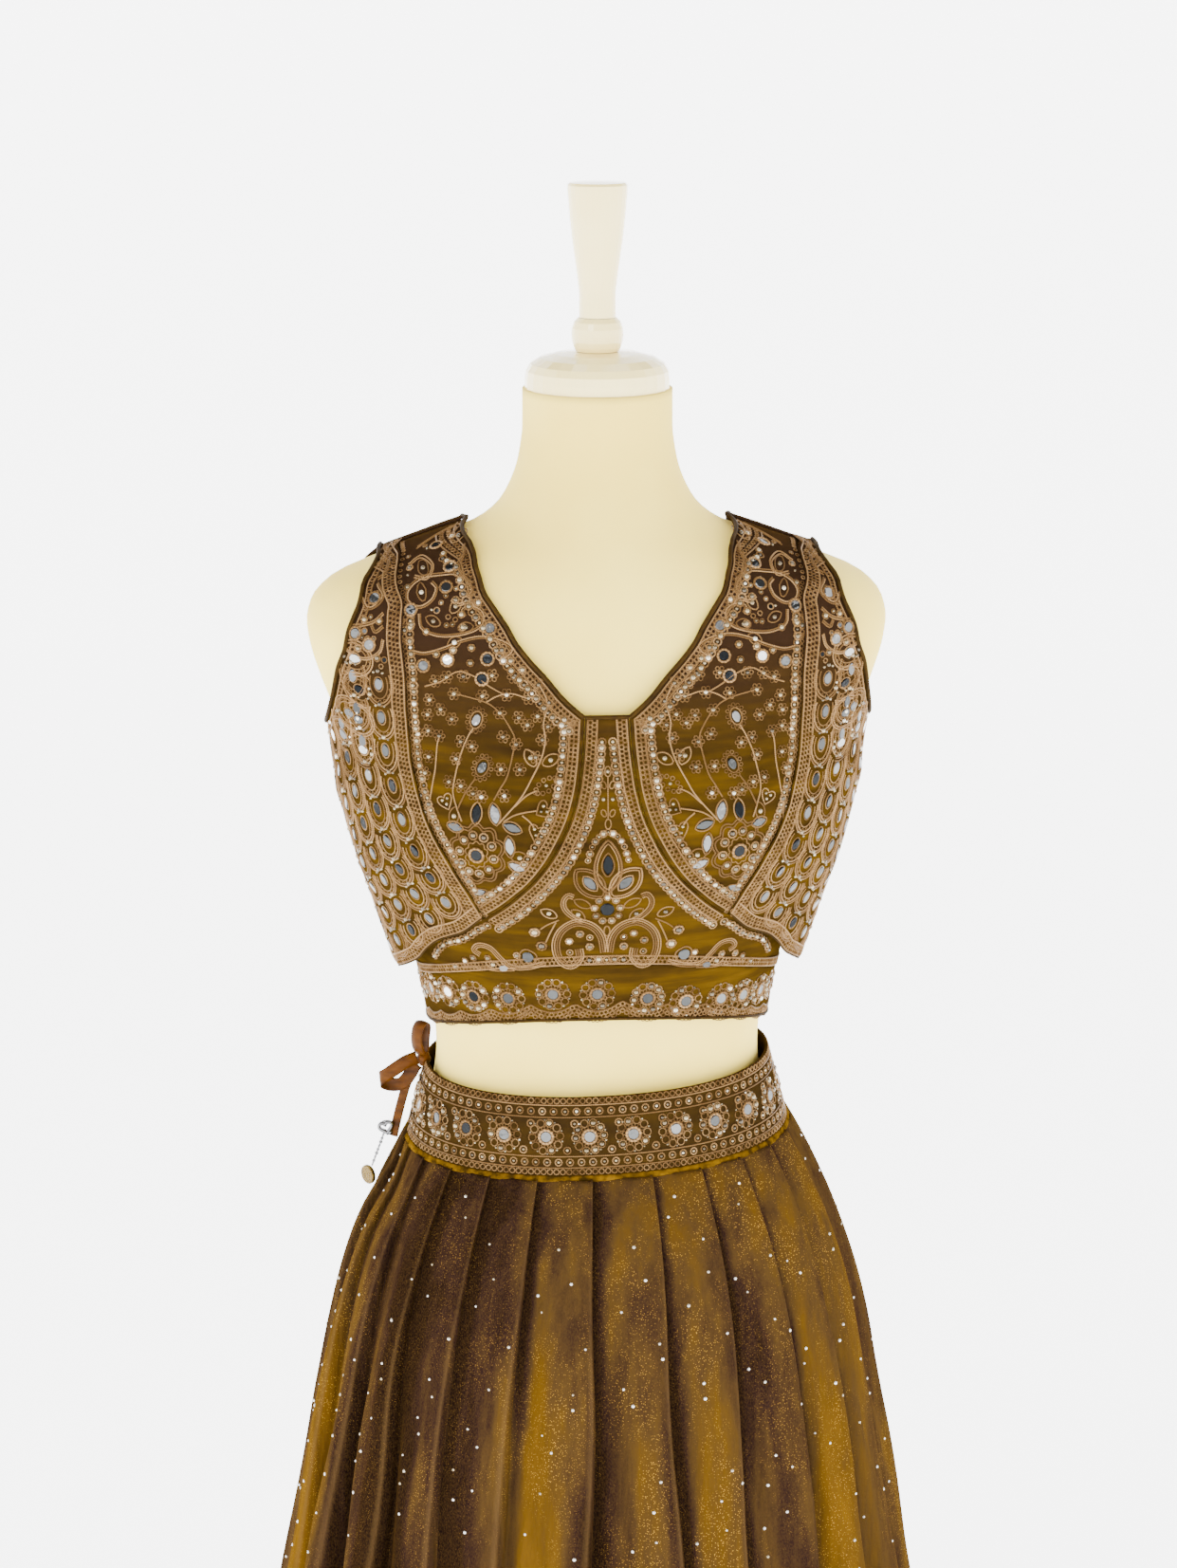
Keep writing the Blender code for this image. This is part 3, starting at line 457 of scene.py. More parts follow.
def mesh_object(name, points, faces, materials, slots=None, smooth=None, values=None):
    """Object from points and lists of faces with the same number of corners each."""
    mesh = bpy.data.meshes.new(name)
    mesh.vertices.add(len(points))
    mesh.vertices.foreach_set("co", np.asarray(points, dtype=np.float32).ravel())
    corners = np.concatenate([block.ravel() for block in faces])
    sizes = np.concatenate([np.full(len(block), block.shape[1]) for block in faces])
    mesh.loops.add(len(corners))
    mesh.loops.foreach_set("vertex_index", corners.astype(np.int32))
    mesh.polygons.add(len(sizes))
    mesh.polygons.foreach_set("loop_start", np.concatenate(((0,), np.cumsum(sizes)[:-1])).astype(np.int32))
    mesh.polygons.foreach_set("loop_total", sizes.astype(np.int32))
    if slots is not None:
        mesh.polygons.foreach_set("material_index", np.asarray(slots, dtype=np.int32))
    flags = np.ones(len(sizes), dtype=bool) if smooth is None else smooth
    mesh.polygons.foreach_set("use_smooth", flags)
    for word, numbers in (values or {}).items():
        layer = mesh.attributes.new(word, "FLOAT", "POINT")
        layer.data.foreach_set("value", np.asarray(numbers, dtype=np.float32).ravel())
    mesh.update()
    mesh.validate()
    for material in materials:
        mesh.materials.append(MATERIALS[material])
    return linked(name, mesh)


def settle(thing, slot, *nodes):
    """Lets the piece ride on the part's body, and hides the solids that it replaces; the slot is not used."""
    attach(thing, BODY)
    if nodes:
        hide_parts(*nodes)


def thicken(shell, wall, offset):
    thickness = shell.modifiers.new("wall", "SOLIDIFY")
    thickness.thickness = wall
    thickness.offset = offset


def line_length(points):
    return float(np.linalg.norm(np.diff(points, axis=0), axis=-1).sum())


def grid_faces(rows, columns, closed=False):
    """Four-cornered faces over a grid of points, facing out when rows run down."""
    index = np.arange(rows * columns).reshape(rows, columns)
    following = np.roll(index, -1, axis=1) if closed else index[:, 1:]
    first = index if closed else index[:, :-1]
    return np.stack((first[:-1], first[1:], following[1:], following[:-1]), -1).reshape(-1, 4)


def cloth(name, points, wall, material, slot, *nodes, values=None):
    """Shell of cloth over a grid of points, thickened towards the body."""
    faces = [grid_faces(*points.shape[:2])]
    shell = mesh_object(name, points.reshape(-1, 3), faces, [material], values=values)
    thicken(shell, wall, -1.0)
    settle(shell, slot, *nodes)
    return shell


THREAD, BEADS, MIRROR = range(3)
BEVEL = 0.16
Shape = namedtuple("Shape", "points faces along slot")


def full_turn(count):
    return np.linspace(0, 2 * np.pi, count, endpoint=False)


def circle(radius, count):
    turn = full_turn(count)
    return np.stack((np.cos(turn), np.sin(turn)), -1) * radius


def oval(half_width, half_height, count=14):
    return circle(1.0, count) * (half_width, half_height)


def marquise(half_width, half_height, count=14):
    """Pointed oval, its points at the top and bottom."""
    turn = full_turn(count)
    rise = np.cos(turn)
    across = np.sign(np.sin(turn)) * (1 - rise ** 2) ** 0.8
    return np.stack((-across * half_width, rise * half_height), -1)


def heart_outline(half_width):
    turn = full_turn(36)
    across = np.sin(turn) ** 3
    up = (13 * np.cos(turn) - 5 * np.cos(2 * turn) - 2 * np.cos(3 * turn) - np.cos(4 * turn)) / 16.0
    return np.stack((across, up), -1) * half_width


def scallops(radius, lobes, depth, count=72):
    """Closed line of round lobes about a centre."""
    reach = radius + depth * (np.abs(np.sin(full_turn(count) * lobes / 2)) - 0.5)
    return circle(1.0, count) * reach[:, None]


def tube(points, out, wire, sides, closed):
    """Tube round a line of points on a surface, resting on it."""
    ahead = np.roll(points, -1, axis=0) if closed else np.vstack((points[1:], points[-1:]))
    behind = np.roll(points, 1, axis=0) if closed else np.vstack((points[:1], points[:-1]))
    along = unit(ahead - behind)
    sideways = unit(np.cross(along, out))
    turn = full_turn(sides) + np.pi / 2
    ring = (np.cos(turn)[None, :, None] * sideways[:, None, :]
            + (np.sin(turn)[None, :, None] * 0.9 + 0.55) * out[:, None, :]) * wire
    solid = (points[:, None, :] + ring).reshape(-1, 3)
    count = len(points)
    index = np.arange(count * sides).reshape(count, sides)
    last = np.roll(index, -1, axis=0) if closed else index[1:]
    first = index if closed else index[:-1]
    faces = np.stack((first, last, np.roll(last, -1, axis=1), np.roll(first, -1, axis=1)), -1)
    steps = np.linalg.norm(ahead - points, axis=-1)
    lengths = np.concatenate(((0.0,), np.cumsum(steps)[:-1]))
    return Shape(solid, [faces.reshape(-1, 4)], np.repeat(lengths, sides), THREAD)


def outline_shape(path, wire, sides):
    """Cord laid flat along a closed outline."""
    points = np.column_stack((path, np.zeros(len(path))))
    out = np.tile((0.0, 0.0, 1.0), (len(path), 1))
    return tube(points, out, wire, sides, closed=True)


def plate_shape(path, thickness):
    """Flat cut glass: an outline with a bevelled edge and a flat top."""
    count = len(path)
    points = np.vstack([np.column_stack((path * scale, np.full(count, height)))
                        for scale, height in ((1.0, 0.0), (1.0, thickness * 0.5), (1.0 - BEVEL, thickness))])
    top = np.arange(2 * count, 3 * count)[None, :]
    return Shape(points, [grid_faces(3, count, closed=True)[:, ::-1], top], np.zeros(len(points)), MIRROR)


def dome_shape(radius, height, sides=8, rings=3):
    """Bead: a round cap on the cloth."""
    levels = np.linspace(0, np.pi / 2, rings, endpoint=False)
    points = np.vstack([np.column_stack((circle(radius * math.cos(level), sides),
                                         np.full(sides, height * math.sin(level)))) for level in levels]
                       + [np.array(((0.0, 0.0, height),))])
    top = len(points) - 1
    last = np.arange(top - sides, top)
    cap = np.stack((last, np.roll(last, -1), np.full(sides, top)), -1)
    rounds = grid_faces(rings, sides, closed=True)[:, ::-1]
    return Shape(points, [rounds, cap], np.zeros(len(points)), BEADS)


CORD_STEP = 0.0021
FINE_STEP = 0.0010


class Stitching:
    """Many small shapes on a chart, joined in one mesh."""

    def __init__(self, name, chart=None, side=1, over_shoulder=False):
        self.name = name
        self.chart = chart
        self.side = side
        self.over_shoulder = over_shoulder
        self.points = []
        self.blocks = []
        self.tones = []
        self.along = []
        self.taken = []
        self.count = 0
        self.copies = 0

    def take(self, points, faces, slot, tones, along):
        self.blocks += [(block + self.count, slot) for block in faces]
        self.points.append(points)
        self.tones.append(tones)
        self.along.append(along)
        self.count += len(points)

    def place(self, places):
        return np.asarray(places, dtype=float).reshape(-1, 2) * (self.side, 1.0)

    def put(self, shape, places, turn=0.0, size=1.0, lean=0.0, lift=0.0):
        """Copies of a shape at places, turned in degrees, sized, and leaning a little."""
        places = self.place(places)
        held = self.before_shoulder(places)
        size = np.broadcast_to(size, len(places))[held]
        turn = np.broadcast_to(turn, len(places))[held]
        places = places[held]
        self.taken.append(places)
        if len(places):
            self.stamp(shape, self.chart.frames(places, lift), np.multiply(turn, self.side), size, lean)

    def stamp(self, shape, frames, turn=0.0, size=1.0, lean=0.0):
        """Copies of a shape in frames of a base, right, up and outward direction."""
        base, right, up, out = frames
        count = len(base)
        turns = np.radians(np.broadcast_to(turn, count))[:, None]
        sizes = np.broadcast_to(size, count)[:, None, None]
        number = np.arange(count) + self.copies
        self.copies += count
        out = unit(out + lean * ((uneven(number, 1.0) - 0.5)[:, None] * right
                                 + (uneven(number, 2.0) - 0.5)[:, None] * up))
        ahead = right * np.cos(turns) + up * np.sin(turns)
        ahead = unit(ahead - out * np.sum(ahead * out, -1, keepdims=True))
        over = np.cross(out, ahead)
        x, y, z = shape.points.T[:, None, :, None]
        copy = x * ahead[:, None, :] + y * over[:, None, :] + z * out[:, None, :]
        solid = base[:, None, :] + copy * sizes
        each = len(shape.points)
        shift = (np.arange(count) * each)[:, None, None]
        faces = [(block[None] + shift).reshape(-1, block.shape[1]) for block in shape.faces]
        self.take(solid.reshape(-1, 3), faces, shape.slot, np.repeat(uneven(number, 3.0), each),
                  np.tile(shape.along, count))

    def cord(self, path, wire, closed=False, step=CORD_STEP, sides=4):
        """A cord along a path of the chart."""
        path = even_path(np.asarray(path, dtype=float), step, closed)
        held = self.before_shoulder(self.place(path))
        closed = closed and bool(held.all())
        path = self.place(path[held])
        if len(path) < 3:
            return
        self.taken.append(path)
        base, _, _, out = self.chart.frames(path)
        shape = tube(base, out, wire, sides, closed)
        self.copies += 1
        tones = np.full(len(shape.points), float(uneven(self.copies, 4.0)))
        self.take(shape.points, shape.faces, THREAD, tones, shape.along)

    def loop(self, outline, place, wire, turn=0.0, step=CORD_STEP):
        """A closed cord along an outline about a place."""
        self.cord(place + turned(outline, turn), wire, True, step)

    def before_shoulder(self, places):
        """True where a place lies in front of the shoulder seam and inside the shoulder's tip."""
        if self.over_shoulder:
            return np.ones(len(places), bool)
        base = self.chart.frames(places)[0]
        reach = np.abs(base[:, 0]) + TIP_SLOPE * (base[:, 2] - TIP_LOW)
        past_tip = (base[:, 2] > TIP_LOW) & (reach > TIP_REACH)
        return ((base[:, 2] < SHOULDER_LOW) | (base[:, 1] < SHOULDER_SEAM)) & ~past_tip

    def free_places(self, outline, step, reach):
        """Uneven grid of places inside an outline that nothing has taken yet."""
        low, high = outline.min(axis=0), outline.max(axis=0)
        across, up = np.meshgrid(np.arange(low[0], high[0], step), np.arange(low[1], high[1], step * 0.87))
        across[1::2] += step / 2
        places = np.stack((across, up), -1).reshape(-1, 2)
        number = np.arange(len(places))
        places = places + step * 0.35 * (np.stack((uneven(number, 31.0), uneven(number, 32.0)), -1) - 0.5)
        places = places[inside(outline, places)]
        taken = np.vstack(self.taken) * (self.side, 1.0)
        gaps = np.array([np.min(np.sum((taken - spot) ** 2, axis=-1)) for spot in places])
        return places[gaps > reach * reach]

    def done(self, slot="choli_fabric", material=None):
        """Makes the mesh, in one material or in those of thread, beads and mirrors."""
        slots = np.concatenate([np.full(len(block), kind) for block, kind in self.blocks])
        names = [material] if material else STITCH_MATERIALS
        thing = mesh_object(self.name, np.vstack(self.points), [block for block, _ in self.blocks],
                            names, 0 * slots if material else slots, smooth=slots != MIRROR,
                            values={"tone": np.concatenate(self.tones), "along": np.concatenate(self.along)})
        settle(thing, slot)


def even_path(path, step, closed=False):
    """The path with its points a step apart."""
    if closed:
        path = np.vstack((path, path[:1]))
    lengths = np.concatenate(((0.0,), np.cumsum(np.linalg.norm(np.diff(path, axis=0), axis=1))))
    count = max(int(round(lengths[-1] / step)), 3)
    places = np.linspace(0, lengths[-1], count + 1)[:count + (0 if closed else 1)]
    return np.stack([np.interp(places, lengths, path[:, axis]) for axis in range(2)], -1)


def beside(path, distance):
    """The path moved sideways: to its left for a distance above 0."""
    along = unit(np.gradient(path, axis=0))
    return path + np.stack((-along[:, 1], along[:, 0]), -1) * distance


def smooth_path(spots):
    """Smooth line through spots, drawn with even turns."""
    spots = np.asarray(spots, dtype=float)
    padded = np.vstack((2 * spots[0] - spots[1], spots, 2 * spots[-1] - spots[-2]))
    place = np.linspace(0, len(spots) - 1.0001, 60)
    i = place.astype(int)
    t = (place - i)[:, None]
    a, b, c, d = padded[i], padded[i + 1], padded[i + 2], padded[i + 3]
    return 0.5 * (2 * b + (c - a) * t + (2 * a - 5 * b + 4 * c - d) * t ** 2
                  + (3 * b - a - 3 * c + d) * t ** 3)


def turned(points, degrees):
    turn = math.radians(degrees)
    across = points[:, 0] * math.cos(turn) - points[:, 1] * math.sin(turn)
    up = points[:, 0] * math.sin(turn) + points[:, 1] * math.cos(turn)
    return np.stack((across, up), -1)


def inside(outline, places):
    """Whether places lie within a closed outline."""
    x, y = places[:, 0], places[:, 1]
    hit = np.zeros(len(places), dtype=bool)
    for (x1, y1), (x2, y2) in zip(outline, np.roll(outline, -1, axis=0)):
        crosses = (y1 > y) != (y2 > y)
        edge = (x2 - x1) * (y - y1) / ((y2 - y1) or 1e-12) + x1
        hit ^= crosses & (x < edge)
    return hit


# Materials, each kept under its own name

MATERIALS = {}
STITCH_MATERIALS = ("zari_cord", "beads", "mirrors")


class Look:
    """A Principled material with its nodes, each of them passed on as one of its outputs."""

    def __init__(self, name, colour, roughness, metallic=0.0, **sockets):
        material = bpy.data.materials.new(name)
        material.use_nodes = True
        MATERIALS[name] = material
        self.tree = material.node_tree
        self.surface = self.tree.nodes["Principled BSDF"]
        sockets.update(Base_Color=(*colour, 1.0), Roughness=roughness, Metallic=metallic)
        for word, value in sockets.items():
            self.join(self.surface.inputs[word.replace("_", " ")], value)

    def join(self, socket, value):
        """Sets a socket to a value, or links it to the output of a node."""
        if isinstance(value, bpy.types.NodeSocket):
            self.tree.links.new(value, socket)
        else:
            socket.default_value = value

    def node(self, kind, inputs=None, output=0, **fields):
        """Adds a node and gives one of its outputs."""
        thing = self.tree.nodes.new("ShaderNode" + kind)
        for word, value in fields.items():
            setattr(thing, word, value)
        for place, value in (inputs or {}).items():
            self.join(thing.inputs[place], value)
        return thing.outputs[output]

    def where(self):
        return self.node("TexCoord", output="Object")

    def attribute(self, name):
        return self.node("Attribute", output="Fac", attribute_name=name)

    def combine(self, operation, *values):
        return self.node("Math", dict(enumerate(values)), operation=operation)

    def spread(self, source, low, high, to_low=0.0, to_high=1.0, **fields):
        """Stretches values from low..high to to_low..to_high."""
        ends = {"From Min": low, "From Max": high, "To Min": to_low, "To Max": to_high}
        return self.node("MapRange", {0: source, **ends}, **fields)

    def noise(self, scale, detail=2.0, stretch=1.0, roughness=0.5):
        """Noise over the object's own metres, its heights multiplied by stretch."""
        place = self.node("Mapping", {0: self.where(), "Scale": (1.0, 1.0, stretch)})
        settings = {"Scale": scale, "Detail": detail, "Roughness": roughness}
        return self.node("TexNoise", {"Vector": place, **settings})

    def cells(self, scale):
        return self.node("TexVoronoi", {"Vector": self.where(), "Scale": scale})

    def ramp(self, source, *stops):
        """Colour ramp; a stop is a place and a colour, or one number for a grey."""
        colour = self.node("ValToRGB", {0: source})
        elements = colour.node.color_ramp.elements
        while len(elements) < len(stops):
            elements.new(0.5)
        for element, (place, tint) in zip(elements, stops):
            element.position = place
            element.color = (*tint, 1.0) if isinstance(tint, tuple) else (tint, tint, tint, 1.0)
        return colour

    def mix(self, share, first, second):
        """Mix by a share of two colours, each fixed or the output of a node."""
        ends = [(*end, 1.0) if isinstance(end, tuple) else end for end in (first, second)]
        return self.node("Mix", {0: share, 6: ends[0], 7: ends[1]}, 2, data_type="RGBA")

    def feed(self, socket, source):
        self.join(self.surface.inputs[socket], source)

    def shade(self, source, *stops):
        """Base colour from a ramp over a source."""
        self.feed("Base Color", self.ramp(source, *stops))

    def polish(self, source, *stops):
        """Roughness from a ramp over a source."""
        self.feed("Roughness", self.ramp(source, *stops))

    def bump(self, source, strength, distance):
        """Relief, laid over the relief that the surface already has."""
        relief = self.node("Bump", {"Height": source, "Strength": strength, "Distance": distance})
        normal = self.surface.inputs["Normal"]
        if normal.links:
            self.join(relief.node.inputs["Normal"], normal.links[0].from_socket)
        self.join(normal, relief)

    def weave(self, pitch, strength, distance):
        """Plain weave: two sets of fine waves crossed, in the object's metres."""
        settings = {"Scale": 0.314 / pitch, "Distortion": 1.5, "Detail": 1.0}
        waves = [self.node("TexWave", {"Vector": self.where(), **settings}, 1, bands_direction=direction)
                 for direction in "XZ"]
        self.bump(self.combine("MAXIMUM", *waves), strength, distance)


def jersey():
    look = Look("jersey", (0.90, 0.68, 0.13), 0.9, Specular_IOR_Level=0.1, Sheen_Weight=0.1)
    look.shade(look.noise(9.0, 3.0), (0.35, (0.87, 0.645, 0.110)), (0.65, (0.93, 0.715, 0.145)))
    look.weave(0.0009, 0.25, 0.0003)


def gloss():
    look = Look("gloss", (0.92, 0.74, 0.28), 0.2, Coat_Weight=0.7, Coat_Roughness=0.05)
    look.shade(look.noise(14.0), (0.3, (0.90, 0.71, 0.25)), (0.7, (0.94, 0.78, 0.32)))
    look.polish(look.noise(60.0), (0.3, 0.14), (0.7, 0.24))


def choli_silk():
    """Slubbed silk with level streaks, darker at the shoulders and towards the hem."""
    look = Look("choli_silk", (0.03, 0.017, 0.004), 0.5, Specular_IOR_Level=0.0, Sheen_Weight=0.10,
                Sheen_Roughness=0.35, Sheen_Tint=(0.30, 0.16, 0.02, 1.0))
    streaks = look.ramp(look.noise(9.0, 4.0, 9.0, 0.65), (0.30, (0.016, 0.0082, 0.0024)),
                        (0.50, (0.036, 0.0188, 0.0026)), (0.74, (0.080, 0.0410, 0.0024)))
    height = look.node("SeparateXYZ", {0: look.where()}, "Z")
    upper = look.mix(look.spread(height, 1.25, 1.34), streaks, (0.020, 0.0102, 0.0052))
    lower = look.spread(height, 1.06, 1.03, 0.0, 0.72)
    look.feed("Base Color", look.mix(lower, upper, (0.019, 0.0105, 0.0036)))
    look.weave(0.0007, 0.3, 0.0002)
    look.bump(look.noise(16.0, 3.0, 7.0), 0.2, 0.0015)


def piping_silk():
    look = Look("piping_silk", (0.03, 0.016, 0.004), 0.6, 0.1, Specular_IOR_Level=0.02)
    look.shade(look.noise(120.0), (0.3, (0.020, 0.0105, 0.0030)), (0.7, (0.038, 0.0200, 0.0040)))
    look.weave(0.0006, 0.35, 0.0002)


def zari_cord():
    """Rose-golden cord with the turns of its twist, darkened in the twist's grooves by painted shade."""
    look = Look("zari_cord", (0.23, 0.13, 0.04), 0.38, 0.5, Specular_IOR_Level=0.1)
    twist = look.combine("SINE", look.combine("MULTIPLY", look.attribute("along"), 2 * math.pi / TWIST_PITCH))
    colour = look.ramp(look.attribute("tone"), (0.0, (0.140, 0.073, 0.023)), (0.5, (0.260, 0.143, 0.051)),
                       (1.0, (0.400, 0.235, 0.098)))
    # Painted shade: the cord's colour darkens in the grooves of its twist.
    light = look.spread(twist, -1.0, 1.0, 0.45, 1.0)
    look.feed("Base Color", look.mix(light, (0.055, 0.026, 0.009), colour))
    look.bump(twist, 0.5, 0.0003)


def beads():
    look = Look("beads", (0.75, 0.66, 0.47), 0.16, 0.55, Coat_Weight=0.5)
    look.shade(look.attribute("tone"), (0.0, (0.045, 0.030, 0.012)), (0.45, (0.15, 0.105, 0.045)),
               (0.85, (0.34, 0.27, 0.15)), (1.0, (0.70, 0.65, 0.52)))


def mirrors():
    """Small mirrors, most of them dark and a few of them bright: painted reflections, set per mirror in the
    base colour.
    """
    look = Look("mirrors", (0.10, 0.13, 0.17), 0.07, 1.0)
    look.shade(look.attribute("tone"), (0.0, (0.006, 0.007, 0.008)), (0.16, (0.016, 0.017, 0.018)),
               (0.26, (0.052, 0.054, 0.054)), (0.7, (0.115, 0.118, 0.118)), (0.88, (0.19, 0.19, 0.185)),
               (0.95, (0.75, 0.75, 0.72)))
    look.bump(look.noise(260.0, 1.0), 0.5, 0.0008)
    look.polish(look.noise(700.0), (0.3, 0.04), (0.7, 0.16))


def shot_tissue():
    """Tissue silk: golden on folds turned one way, purple-brown the other, with glitter. Its colour holds
    painted sheen, painted shade in the folds, glitter painted as glints, and a painted highlight along the
    outer folds.
    """
    look = Look("shot_tissue", (0.05, 0.025, 0.01), 0.5, Specular_IOR_Level=0.0, Sheen_Weight=0.12,
                Sheen_Roughness=0.35, Sheen_Tint=(0.30, 0.15, 0.025, 1.0))
    streak = look.spread(look.noise(42.0, 4.0, 0.045, 0.6), 0.35, 0.65, -0.15, 0.15)
    crush = look.spread(look.noise(80.0, 5.0, 0.12, 0.7), 0.30, 0.70, -0.08, 0.08)
    gold = look.combine("ADD", look.combine("ADD", look.attribute("gold"), streak), crush)
    # The darkest stops are painted shade in the pleats' valleys and beside the folds.
    colour = look.ramp(gold, (0.00, (0.0050, 0.0023, 0.0021)), (0.20, (0.0120, 0.0056, 0.0052)),
                       (0.33, (0.0250, 0.0132, 0.0062)), (0.47, (0.0430, 0.0232, 0.0068)),
                       (0.66, (0.0660, 0.0325, 0.0036)), (1.00, (0.1150, 0.0540, 0.0026)))
    fine = look.spread(look.noise(1100.0, 2.0, 0.5), 0.35, 0.65, 0.0, 0.30)
    grained = look.mix(fine, colour, (0.062, 0.033, 0.008))
    # Glitter: bright spots in the base colour, painted glints of the metallic threads.
    glint = look.spread(look.cells(700.0), 0.26, 0.10)
    patch = look.spread(look.noise(24.0, 4.0, 0.35, 0.75), 0.44, 0.60)
    shown = look.spread(gold, 0.15, 0.55, 0.25, 1.0)
    glitter = look.combine("MULTIPLY", look.combine("MULTIPLY", glint, patch), shown)
    sparkling = look.mix(glitter, grained, (0.50, 0.26, 0.035))
    # Painted highlight along the outer folds, from the skirt's edge attribute.
    edge = look.spread(look.attribute("edge"), 0.0, 1.0, 0.0, 0.30)
    look.feed("Base Color", look.mix(edge, sparkling, (0.115, 0.066, 0.024)))
    look.polish(glitter, (0.0, 0.40), (1.0, 0.20))
    look.weave(0.0006, 0.25, 0.0002)
    look.bump(look.noise(46.0, 4.0, 0.16, 0.6), 0.7, 0.006)


def gold_tissue():
    look = Look("gold_tissue", (0.07, 0.035, 0.002), 0.5, Specular_IOR_Level=0.0, Sheen_Weight=0.1,
                Sheen_Tint=(0.40, 0.20, 0.02, 1.0))
    look.shade(look.noise(160.0, 3.0), (0.35, (0.024, 0.0125, 0.0020)), (0.65, (0.125, 0.062, 0.0030)))
    look.bump(look.noise(260.0, 3.0), 0.6, 0.0010)


def studs():
    look = Look("studs", (0.85, 0.85, 0.86), 0.2, 0.6)
    look.shade(look.attribute("tone"), (0.0, (0.35, 0.28, 0.16)), (1.0, 0.95))


def ribbon_satin():
    look = Look("ribbon_satin", (0.10, 0.028, 0.0012), 0.36, 0.1, Specular_IOR_Level=0.08)
    look.shade(look.noise(60.0, 3.0, 3.0), (0.3, (0.028, 0.0085, 0.0008)), (0.7, (0.085, 0.027, 0.0012)))
    look.weave(0.0004, 0.2, 0.0001)


def dark_silver():
    look = Look("dark_silver", (0.16, 0.16, 0.165), 0.24, 1.0)
    look.polish(look.noise(900.0), (0.3, 0.16), (0.7, 0.38))


def pale_gold():
    """Beaten gilt with dark dents."""
    look = Look("pale_gold", (0.45, 0.30, 0.08), 0.30, 1.0)
    dents = look.cells(900.0)
    look.bump(dents, 0.8, 0.0006)
    look.shade(dents, (0.1, (0.26, 0.165, 0.030)), (0.7, (0.055, 0.032, 0.006)))


def brushed_tube():
    look = Look("brushed_tube", (0.25, 0.25, 0.255), 0.32, 1.0)
    look.polish(look.noise(40.0, 4.0, 0.05), (0.3, 0.22), (0.7, 0.42))


def powder_coat():
    look = Look("powder_coat", (0.55, 0.42, 0.16), 0.5, Specular_IOR_Level=0.3)
    look.bump(look.noise(900.0), 0.15, 0.0003)
    look.shade(look.noise(20.0), (0.3, (0.50, 0.37, 0.13)), (0.7, (0.60, 0.46, 0.19)))


for material in (jersey, gloss, choli_silk, piping_silk, zari_cord, beads, mirrors, shot_tissue, gold_tissue,
                 studs, ribbon_satin, dark_silver, pale_gold, brushed_tube, powder_coat):
    material()


# Camera: fitted to the form's outline in the photo, with its principal point in the middle

IMAGE = (1241, 1653)
FOCAL_PIXELS = 2976.0
SENSOR = 36.0
AXIS_PIXEL = 629.5
CAMERA_DISTANCE = 2.0
CAMERA_HEIGHT = 1.787
CAMERA_PITCH = 16.1
CAMERA_YAW = 3.4


def aim(thing, place, ahead, right, up):
    """Stands a camera or a light at a place, looking ahead."""
    rows = [(right[axis], up[axis], -ahead[axis], place[axis]) for axis in range(3)]
    thing.matrix_world = Matrix(rows + [(0.0, 0.0, 0.0, 1.0)])


def make_camera():
    data = bpy.data.cameras.new("camera")
    data.sensor_width = SENSOR
    data.lens = FOCAL_PIXELS * SENSOR / IMAGE[1]
    data.clip_end = 60.0
    camera = linked("camera", data)
    yaw = math.radians(CAMERA_YAW)
    pitch = math.radians(CAMERA_PITCH)
    head = yaw - math.atan((AXIS_PIXEL - IMAGE[0] / 2) / FOCAL_PIXELS / math.cos(pitch))
    ahead = (math.sin(head) * math.cos(pitch), math.cos(head) * math.cos(pitch), -math.sin(pitch))
    right = (math.cos(head), -math.sin(head), 0.0)
    up = (math.sin(head) * math.sin(pitch), math.cos(head) * math.sin(pitch), math.cos(pitch))
    place = (-CAMERA_DISTANCE * math.sin(yaw), -CAMERA_DISTANCE * math.cos(yaw), CAMERA_HEIGHT)
    aim(camera, place, ahead, right, up)
    bpy.context.scene.camera = camera


# Dress form, and the solids that stay as they are

SOLID_MATERIALS = {
    "gloss": ("neck_cap", "neck_ball", "finial"),
    "brushed_tube": ("form_pole",),
    "powder_coat": ("form_base",),
    "pale_gold": ("charm_disc",),
    "dark_silver": ("charm_ring", "charm_link"),
}


def make_form():
    """Jersey cover, finer than its solid; the hard pieces take their materials."""
    heights = np.linspace(FORM[-1].height, FORM[0].height, FORM_ROWS)
    degrees = np.linspace(0.0, 360.0, FORM_COLUMNS, endpoint=False)
    grid = form_point(degrees[None, :] + 0 * heights[:, None], heights[:, None] + 0 * degrees[None, :])
    index = np.arange(FORM_ROWS * FORM_COLUMNS)[None]
    faces = [grid_faces(FORM_ROWS, FORM_COLUMNS, closed=True), index[:, :FORM_COLUMNS],
             index[:, ::-1][:, :FORM_COLUMNS]]
    cover = mesh_object("form_cover", grid.reshape(-1, 3), faces, ["jersey"])
    settle(cover, "jersey", "form_torso")
    for material, names in SOLID_MATERIALS.items():
        for name in names:
            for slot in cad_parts[name].material_slots:
                slot.material = MATERIALS[material]


# Choli shells: grids of angles and heights, drawn in at the seams

def choli_rise(degrees):
    return np.maximum(np.cos(np.radians(degrees)), 0.0) ** RISE_POWER


def band_top(degrees):
    return BAND_TOP_SIDE + BAND_TOP_RISE * choli_rise(degrees)


def choli_hem(degrees):
    return HEM_SIDE + HEM_RISE * choli_rise(degrees)


def straight(start, end, count):
    share = np.linspace(0, 1, count)[:, None]
    return np.asarray(start) * (1 - share) + np.asarray(end) * share


